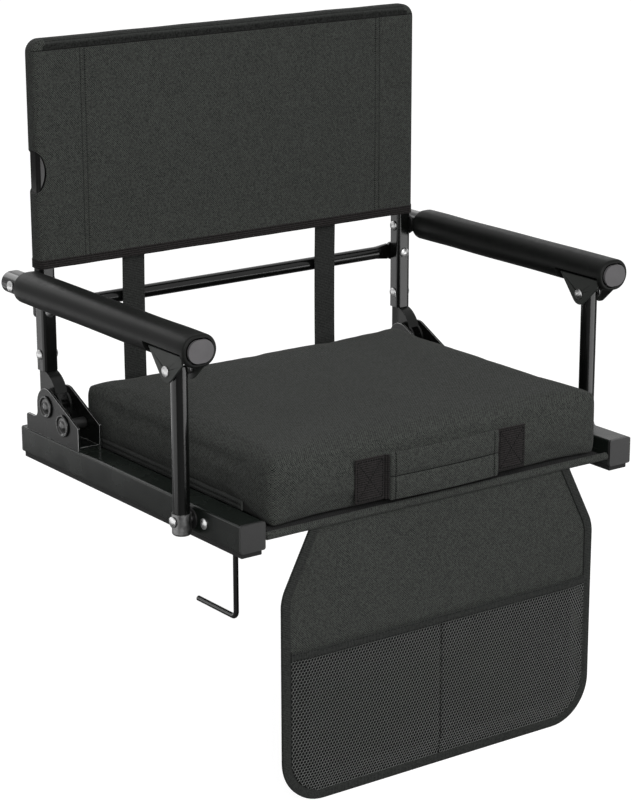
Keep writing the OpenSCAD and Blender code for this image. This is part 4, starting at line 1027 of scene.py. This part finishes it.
def make_armrest_foam(sizes):
    for side_name, side in SIDES:
        node = side_name + "_armrest_foam"
        low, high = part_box(node)
        tube_low, tube_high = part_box(side_name + "_armrest_tube")
        centre = (tube_low + tube_high) / 2
        half_x, half_z = 0.0171, (high.z - low.z) / 2
        bm = oval_bar(64, half_x, half_z, (centre.x, low.y, centre.z), high.y - low.y)
        round_edges(bm, sizes.foam_end, 5, lambda e: fold(e) > 1.0)
        slice_up(bm, Y, steps(low.y + 0.006, high.y - 0.006, 60))
        for v in bm.verts:
            away = Vector((v.co.x - centre.x, 0, v.co.z - centre.z))
            soft = wobble(v.co.y * 18 * side, away.x * 30, away.z * 30)
            v.co += away.normalized() * 0.00035 * soft
        foam = finish_piece(side_name + "_grip_foam", bm, "foam")
        yoke_low, yoke_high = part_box(side_name + "_yoke")
        room, rise, reach = 0.0032, 0.0033, 0.03
        cutter = block((centre.x - reach, yoke_low.y - room, centre.z - reach),
                       (centre.x + reach, yoke_high.y + room, yoke_high.z + rise))
        outward(cutter)
        cut_away(foam, cutter)
        # a little wider than the tube, and longer than the foam
        spare, beyond = 0.0001, 0.01
        tube_x, tube_z = (tube_high.x - tube_low.x) / 2 + spare, (tube_high.z - tube_low.z) / 2 + spare
        tube = oval_bar(48, tube_x, tube_z, (centre.x, low.y - beyond, centre.z), high.y - low.y + 2 * beyond)
        ring = tube.copy()
        wider, deep = 0.0014, 0.0045
        for v in ring.verts:
            v.co += Vector((v.co.x - centre.x, 0, v.co.z - centre.z)).normalized() * wider
            v.co.y = low.y - beyond if v.co.y < low.y else low.y + deep
        cut_away(foam, tube)
        # the bore widens at the front, round the plug
        cut_away(foam, ring)
        crisp(foam, 40)
        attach(foam, side_name + "_arm")
        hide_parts(node)
        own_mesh(foam)


class SEAT_OT_armrest_foam(bpy.types.Operator):
    """Mould the armrests' foam grips, with the slot under each that clears its yoke"""
    bl_idname = "seat.armrest_foam"
    bl_label = "Armrest foam"

    def execute(self, context):
        make_armrest_foam(context.scene.seat_sizes)
        return {"FINISHED"}


# ---- flap

def flap_sheet(top):
    """The flap's outline as one face, with its shoulders and lower corners rounded"""
    low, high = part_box("flap_binding")
    half, neck = high.x, 0.1476
    knee, corner = -0.046, 0.043
    y = (low.y + high.y) / 2
    bm = bmesh.new()
    narrow = neck - (half - neck) * (top - high.z) / (high.z - knee)
    corners = [(-narrow, top), (-half, knee), (-half, low.z), (half, low.z), (half, knee), (narrow, top)]
    verts = [bm.verts.new((x, y, z)) for x, z in corners]
    bm.faces.new(verts)
    for picked, width, segments in ((verts[1::3], 0.0082, 6), (verts[2:4], corner, 14)):
        bmesh.ops.bevel(bm, geom=picked, offset=width, segments=segments, profile=0.5, material=-1,
                        affect="VERTICES", offset_type="OFFSET")
    return bm


def ripple(v):
    return wobble(v.x * 9, 1.5, v.z * 9)


def make_flap(sizes):
    low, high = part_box("flap_binding")
    # the cloth is sewn in under the roll
    cut = high.z + 0.0027
    # close cuts where the cloth bends
    spare, bend = 0.02, steps(cut - 0.0135, cut, 9)

    bm = flap_sheet(cut + spare)
    rim = set(bmesh.ops.inset_region(bm, faces=bm.faces[:], thickness=sizes.binding, use_even_offset=True,
                                     use_boundary=True)["faces"])
    drop_faces(bm, lambda f: f not in rim)
    cut_above(bm, cut)
    slice_up(bm, Z, steps(-0.2, cut, 24) + bend)
    slice_up(bm, X, steps(-0.13, 0.13, 30))
    outward(bm)
    thick = 0.0026
    pull(bm, (0, -thick, 0))
    round_edges(bm, 0.0009, 2, lambda e: fold(e) > 1.0 and max(v.co.z for v in e.verts) < cut - 1e-5)
    for v in bm.verts:
        v.co.y += thick / 2 + 0.0004 * ripple(v.co)
    binding = finish_piece("flap_tape", welded(bm), "trim_fabric", "tape_run", smooth=40)

    def run_of(co):
        corner_x, corner_z, radius = 0.133, -0.204, 0.04
        if co.z < corner_z and abs(co.x) > corner_x:
            return corner_x + radius * math.atan2(abs(co.x) - corner_x, corner_z - co.z)
        if co.z < corner_z:
            return abs(co.x)
        return corner_x + radius * math.pi / 2 + (co.z - corner_z)
    mark_run(binding, run_of)
    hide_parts("flap_binding")
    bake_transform(binding)

    pocket_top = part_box("pocket_band")[0].z + 0.002
    bm = flap_sheet(cut + spare)
    slice_up(bm, Z, steps(low.z, cut, 26) + [pocket_top] + bend)
    slice_up(bm, X, steps(-high.x, high.x, 36))
    cut_above(bm, cut)
    for v in bm.verts:
        edge = min(high.x - abs(v.co.x), v.co.z - low.z)
        v.co.y += 0.0004 * ripple(v.co) * smooth_step(edge / 0.03)
    thick = 0.0012
    thicken(bm, thick)
    shift(bm, (0, thick / 2, 0))
    panel = finish_piece("flap_cloth", welded(bm), "fabric")
    # painted shade behind the nets: the flap's front faces there get the near-black lining finish, so that
    # the net's holes read dark
    repaint(panel, "lining_fabric", lambda f: f.normal.y < -0.5 and f.center.z < pocket_top)
    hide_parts("flap_panel")
    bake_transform(panel)


class SEAT_OT_flap(bpy.types.Operator):
    """Cut the hanging flap and bind its edge with tape"""
    bl_idname = "seat.flap"
    bl_label = "Flap"

    def execute(self, context):
        make_flap(context.scene.seat_sizes)
        return {"FINISHED"}


def make_pockets(sizes):
    low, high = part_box("flap_binding")
    band_low, band_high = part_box("pocket_band")
    mesh_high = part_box("pocket_mesh")[1]
    cloth_y = (low.y + high.y) / 2 - 0.0014
    # an empty pocket lies closer to the flap than its full depth
    deep = cloth_y + (mesh_high.y - cloth_y) * 0.5
    inner_x = high.x - sizes.binding - 0.0002
    inner_z = low.z + sizes.binding + 0.0002
    divider = -0.004
    corner = 0.0355
    cx, cz = inner_x - corner, inner_z + corner

    def outside(face):
        m = face.calc_center_median()
        return abs(m.x) > inner_x or m.z < inner_z or (
            abs(m.x) > cx and m.z < cz and math.hypot(abs(m.x) - cx, m.z - cz) > corner)

    def lift(x, z):
        """How far the net stands off the flap, from 0 at its seams to 1 in the pocket's middle"""
        edge = min(inner_x - abs(x), z - inner_z)
        if abs(x) > cx and z < cz:
            edge = corner - math.hypot(abs(x) - cx, z - cz)
        return smooth_step(edge / 0.020) * (1 - 0.2 * math.exp(-((x - divider) / 0.003) ** 2))

    def net_y(x, z):
        return cloth_y + (deep - cloth_y) * lift(x, z) + 0.0003 * wobble(x * 25, 0, z * 25)

    pitch = sizes.net_pitch
    row = pitch * math.sqrt(3) / 2
    upright = Matrix.Rotation(math.radians(90), 4, "X")
    for side_name, side in SIDES:
        bm = bmesh.new()
        for place in ((0, 0, 0), (pitch / 2, 0, row)):
            bmesh.ops.create_circle(bm, cap_ends=True, segments=6, radius=pitch / math.sqrt(3),
                                    matrix=Matrix.Translation(place) @ upright)
        rims = set(bmesh.ops.inset_individual(bm, faces=bm.faces[:], thickness=pitch / 2 - sizes.net_hole,
                                              use_even_offset=True)["faces"])
        drop_faces(bm, lambda f: f not in rims)
        net = finish_piece(side_name + "_pocket_net", bm, "mesh")
        tall = band_low.z + 0.002 - inner_z
        for label, step, count in (("Across", (pitch, 0, 0), int(inner_x / pitch) + 3),
                                   ("Up", (0, 0, 2 * row), int(tall / (2 * row)) + 1)):
            modifier(net, label, "ARRAY", use_relative_offset=False, use_constant_offset=True,
                     constant_offset_displace=step, count=count)
        modifier(net, "Knots", "WELD", merge_threshold=1e-5)
        baked(net)
        bm = bmesh.new()
        bm.from_mesh(net.data)
        if side < 0:
            stretch(bm, (-1, 1, 1))
        shift(bm, (divider + side * pitch / 2, 0, inner_z - 0.0005))
        cut_above(bm, band_low.z + 0.003)
        drop_faces(bm, outside)
        for v in bm.verts:
            v.co.y = net_y(v.co.x, v.co.z)
        thicken(bm, 0.0005)
        bm.to_mesh(net.data)
        bm.free()
        net.data.shade_smooth()
        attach(net, "flap")
        if side < 0:
            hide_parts("pocket_mesh", "pocket_gussets")

    bm = block((-inner_x, 0, band_low.z + 0.0012), (inner_x, 0.0016, band_high.z))
    round_edges(bm, 0.0005, 2, lambda e: span(e, X) > 0.02)
    slice_up(bm, X, steps(-inner_x, inner_x, 90))
    slice_up(bm, Z, steps(band_low.z + 0.0012, band_high.z, 4))
    for v in bm.verts:
        wave = 0.0003 * wobble(v.co.x * 30, 0, v.co.z * 60)
        v.co.y += net_y(v.co.x, v.co.z) - 0.0014 + wave
        v.co.z += 0.0004 * wobble(v.co.x * 22, 3, 0)
    band = finish_piece("pocket_mouth_tape", welded(bm), "trim_fabric", "tape_across", smooth=50)
    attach(band, "flap")
    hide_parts("pocket_band")
    rows = []

    def sew(x0, z0, x1, z1, off, *stitch):
        """Stitches that follow the net, off in front of it"""
        rows.append(stitch_line((x0, net_y(x0, z0) - off, z0), (x1, net_y(x1, z1) - off, z1), (0, -1, 0),
                                *stitch))
    count = 24
    for z in (band_low.z + 0.0024, band_high.z - 0.0012):
        for i in range(count):
            x0 = -inner_x + 2 * inner_x * i / count
            x1 = -inner_x + 2 * inner_x * (i + 1) / count
            sew(x0, z, x1, z, 0.0015, sizes.stitch, 0.0003)
    count = 14
    drop = (band_low.z + 0.001 - inner_z) / count
    for i in range(count):
        sew(divider, inner_z + drop * i, divider, inner_z + drop * (i + 1), 0.0006, 0.0024, 0.00055)
    thread = finish_piece("pocket_stitches", join_bm(rows), "trim_fabric", "thread")
    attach(thread, "flap")


class SEAT_OT_pockets(bpy.types.Operator):
    """Knit the two pocket nets, sew them down round their edges and tape their mouth"""
    bl_idname = "seat.pockets"
    bl_label = "Mesh pockets"

    def execute(self, context):
        make_pockets(context.scene.seat_sizes)
        return {"FINISHED"}


# ---- stage

def seen_rays(tree):
    """The share of camera rays, and that of rays seen in gloss or through glass"""
    path = add(tree, "LightPath").node.outputs
    mirror_rays = math_node(tree, "MAXIMUM", path["Is Glossy Ray"], path["Is Transmission Ray"])
    return path["Is Camera Ray"], mirror_rays


def lamp(name, place, aim, size, radiance, lit=True):
    """A soft rectangular lamp; lit says whether it lights surfaces or only shines on gloss"""
    data = bpy.data.lights.new(name, "AREA")
    data.shape = "RECTANGLE"
    data.size, data.size_y = size
    data.energy = radiance * math.pi * size[0] * size[1]
    obj = linked(name, data)
    obj.location = place
    obj.rotation_euler = (Vector(aim) - Vector(place)).to_track_quat("-Z", "Y").to_euler()
    obj.visible_camera = False
    obj.visible_diffuse = lit


def make_stage(scene):
    settings = scene.seat_stage
    scene.view_settings.view_transform = "Standard"

    bm = bmesh.new()
    bmesh.ops.create_grid(bm, x_segments=4, y_segments=4, size=6.0)
    shift(bm, (0, 0, CAD_BOX[0].z - 0.0006))
    floor = linked("floor", mesh_of("floor", bm))
    mat, tree, _ = new_finish("Pale floor", 0.9)
    shader = tree.nodes["Principled BSDF"]
    shader.inputs["Base Color"].default_value = (*settings.floor, 1.0)
    glow = add(tree, "Emission", {0: (1, 1, 1, 1), 1: 1.0})
    camera_rays, mirror_rays = seen_rays(tree)
    # white to the camera, less so in gloss and glass, so that the object's shadow stays
    share = math_node(tree, "MAXIMUM", times(tree, camera_rays, 0.92), times(tree, mirror_rays, 0.05))
    tree.links.new(share, glow.node.inputs[1])
    tree.links.new(add(tree, "AddShader", (shader.outputs[0], glow)), tree.nodes["Material Output"].inputs[0])
    floor.data.materials.append(mat)

    world = bpy.data.worlds.new("Studio")
    scene.world = world
    world.use_nodes = True
    tree = world.node_tree
    back = tree.nodes["Background"]
    back.inputs[0].default_value = (1, 1, 1, 1)
    back.inputs[1].default_value = settings.sky
    white = add(tree, "Background", {0: (1, 1, 1, 1), 1: 1.0})
    seen = math_node(tree, "MAXIMUM", *seen_rays(tree))
    pick = add(tree, "MixShader", {0: seen, 1: back.outputs[0], 2: white})
    tree.links.new(pick, tree.nodes["World Output"].inputs[0])

    lamp("Top lamp", (0.1, -0.1, 1.7), (0, 0, 0), (1.9, 1.9), settings.top)
    lamp("Key lamp", (-0.6, -2.0, 1.15), (0, 0, 0.1), (2.3, 1.5), settings.key)
    lamp("Back lamp", (-0.35, 1.7, 1.15), (0, 0, 0.05), (1.3, 0.6), settings.back)
    # the low lamps stand on the floor, because upright gloss shows what stands there
    lamp("Right lamp", (0.47, -0.80, -0.06), (0.05, -0.05, -0.06), (1.0, 0.3), settings.right, lit=False)
    lamp("Left lamp", (-0.746, 0.284, -0.045), (0.2, 0.02, -0.045), (1.19, 0.29), settings.left, lit=False)
    lamp("Rear lamp", (-0.35, 0.93, -0.1), (0.17, 0.16, -0.1), (0.32, 0.27), settings.rear, lit=False)

    cam = bpy.data.cameras.new("Camera")
    cam.sensor_width = 36.0
    cam.lens = settings.camera_lens
    cam.shift_x = -0.0096
    cam.shift_y = 0.0769
    cam.clip_start, cam.clip_end = 0.05, 50
    obj = linked("Camera", cam)
    obj.location = settings.camera_place
    obj.rotation_mode = "QUATERNION"
    roll = Quaternion((0, 0, 1), math.radians(-0.09))
    obj.rotation_quaternion = (-Vector(settings.camera_place)).to_track_quat("-Z", "Y") @ roll
    scene.camera = obj


class SEAT_OT_stage(bpy.types.Operator):
    """Set the pale floor, the soft lamps and the camera"""
    bl_idname = "seat.stage"
    bl_label = "Floor, lamps and camera"

    def execute(self, context):
        make_stage(context.scene)
        return {"FINISHED"}


# ---- panel

STEPS = (SEAT_OT_stage, SEAT_OT_metalwork, SEAT_OT_cushion, SEAT_OT_seat_edges, SEAT_OT_carry_handle,
         SEAT_OT_back_sleeve, SEAT_OT_back_straps, SEAT_OT_armrest_foam, SEAT_OT_flap, SEAT_OT_pockets)


class SEAT_PT_panel(bpy.types.Panel):
    """Lists the seat's pieces and settings"""
    bl_idname = "SEAT_PT_panel"
    bl_label = "Bleacher seat"
    bl_space_type = "VIEW_3D"
    bl_region_type = "UI"
    bl_category = "Bleacher seat"

    def draw(self, context):
        for step in STEPS:
            self.layout.operator(step.bl_idname)
        for group in (context.scene.seat_sizes, context.scene.seat_colours, context.scene.seat_stage):
            box = self.layout.box()
            for key in group.bl_rna.properties.keys():
                if key not in ("rna_type", "name"):
                    box.prop(group, key)


CLASSES = (SeatSizes, SeatColours, StageSettings, *STEPS, SEAT_PT_panel)


def register():
    for cls in CLASSES:
        bpy.utils.register_class(cls)
    bpy.types.Scene.seat_sizes = bpy.props.PointerProperty(type=SeatSizes)
    bpy.types.Scene.seat_colours = bpy.props.PointerProperty(type=SeatColours)
    bpy.types.Scene.seat_stage = bpy.props.PointerProperty(type=StageSettings)


def unregister():
    del bpy.types.Scene.seat_stage
    del bpy.types.Scene.seat_colours
    del bpy.types.Scene.seat_sizes
    for cls in reversed(CLASSES):
        bpy.utils.unregister_class(cls)


def main():
    register()
    FINISH.update(make_finishes())
    for step in STEPS:
        group, action = step.bl_idname.split(".")
        getattr(getattr(bpy.ops, group), action)()


if __name__ == "__main__":
    main()
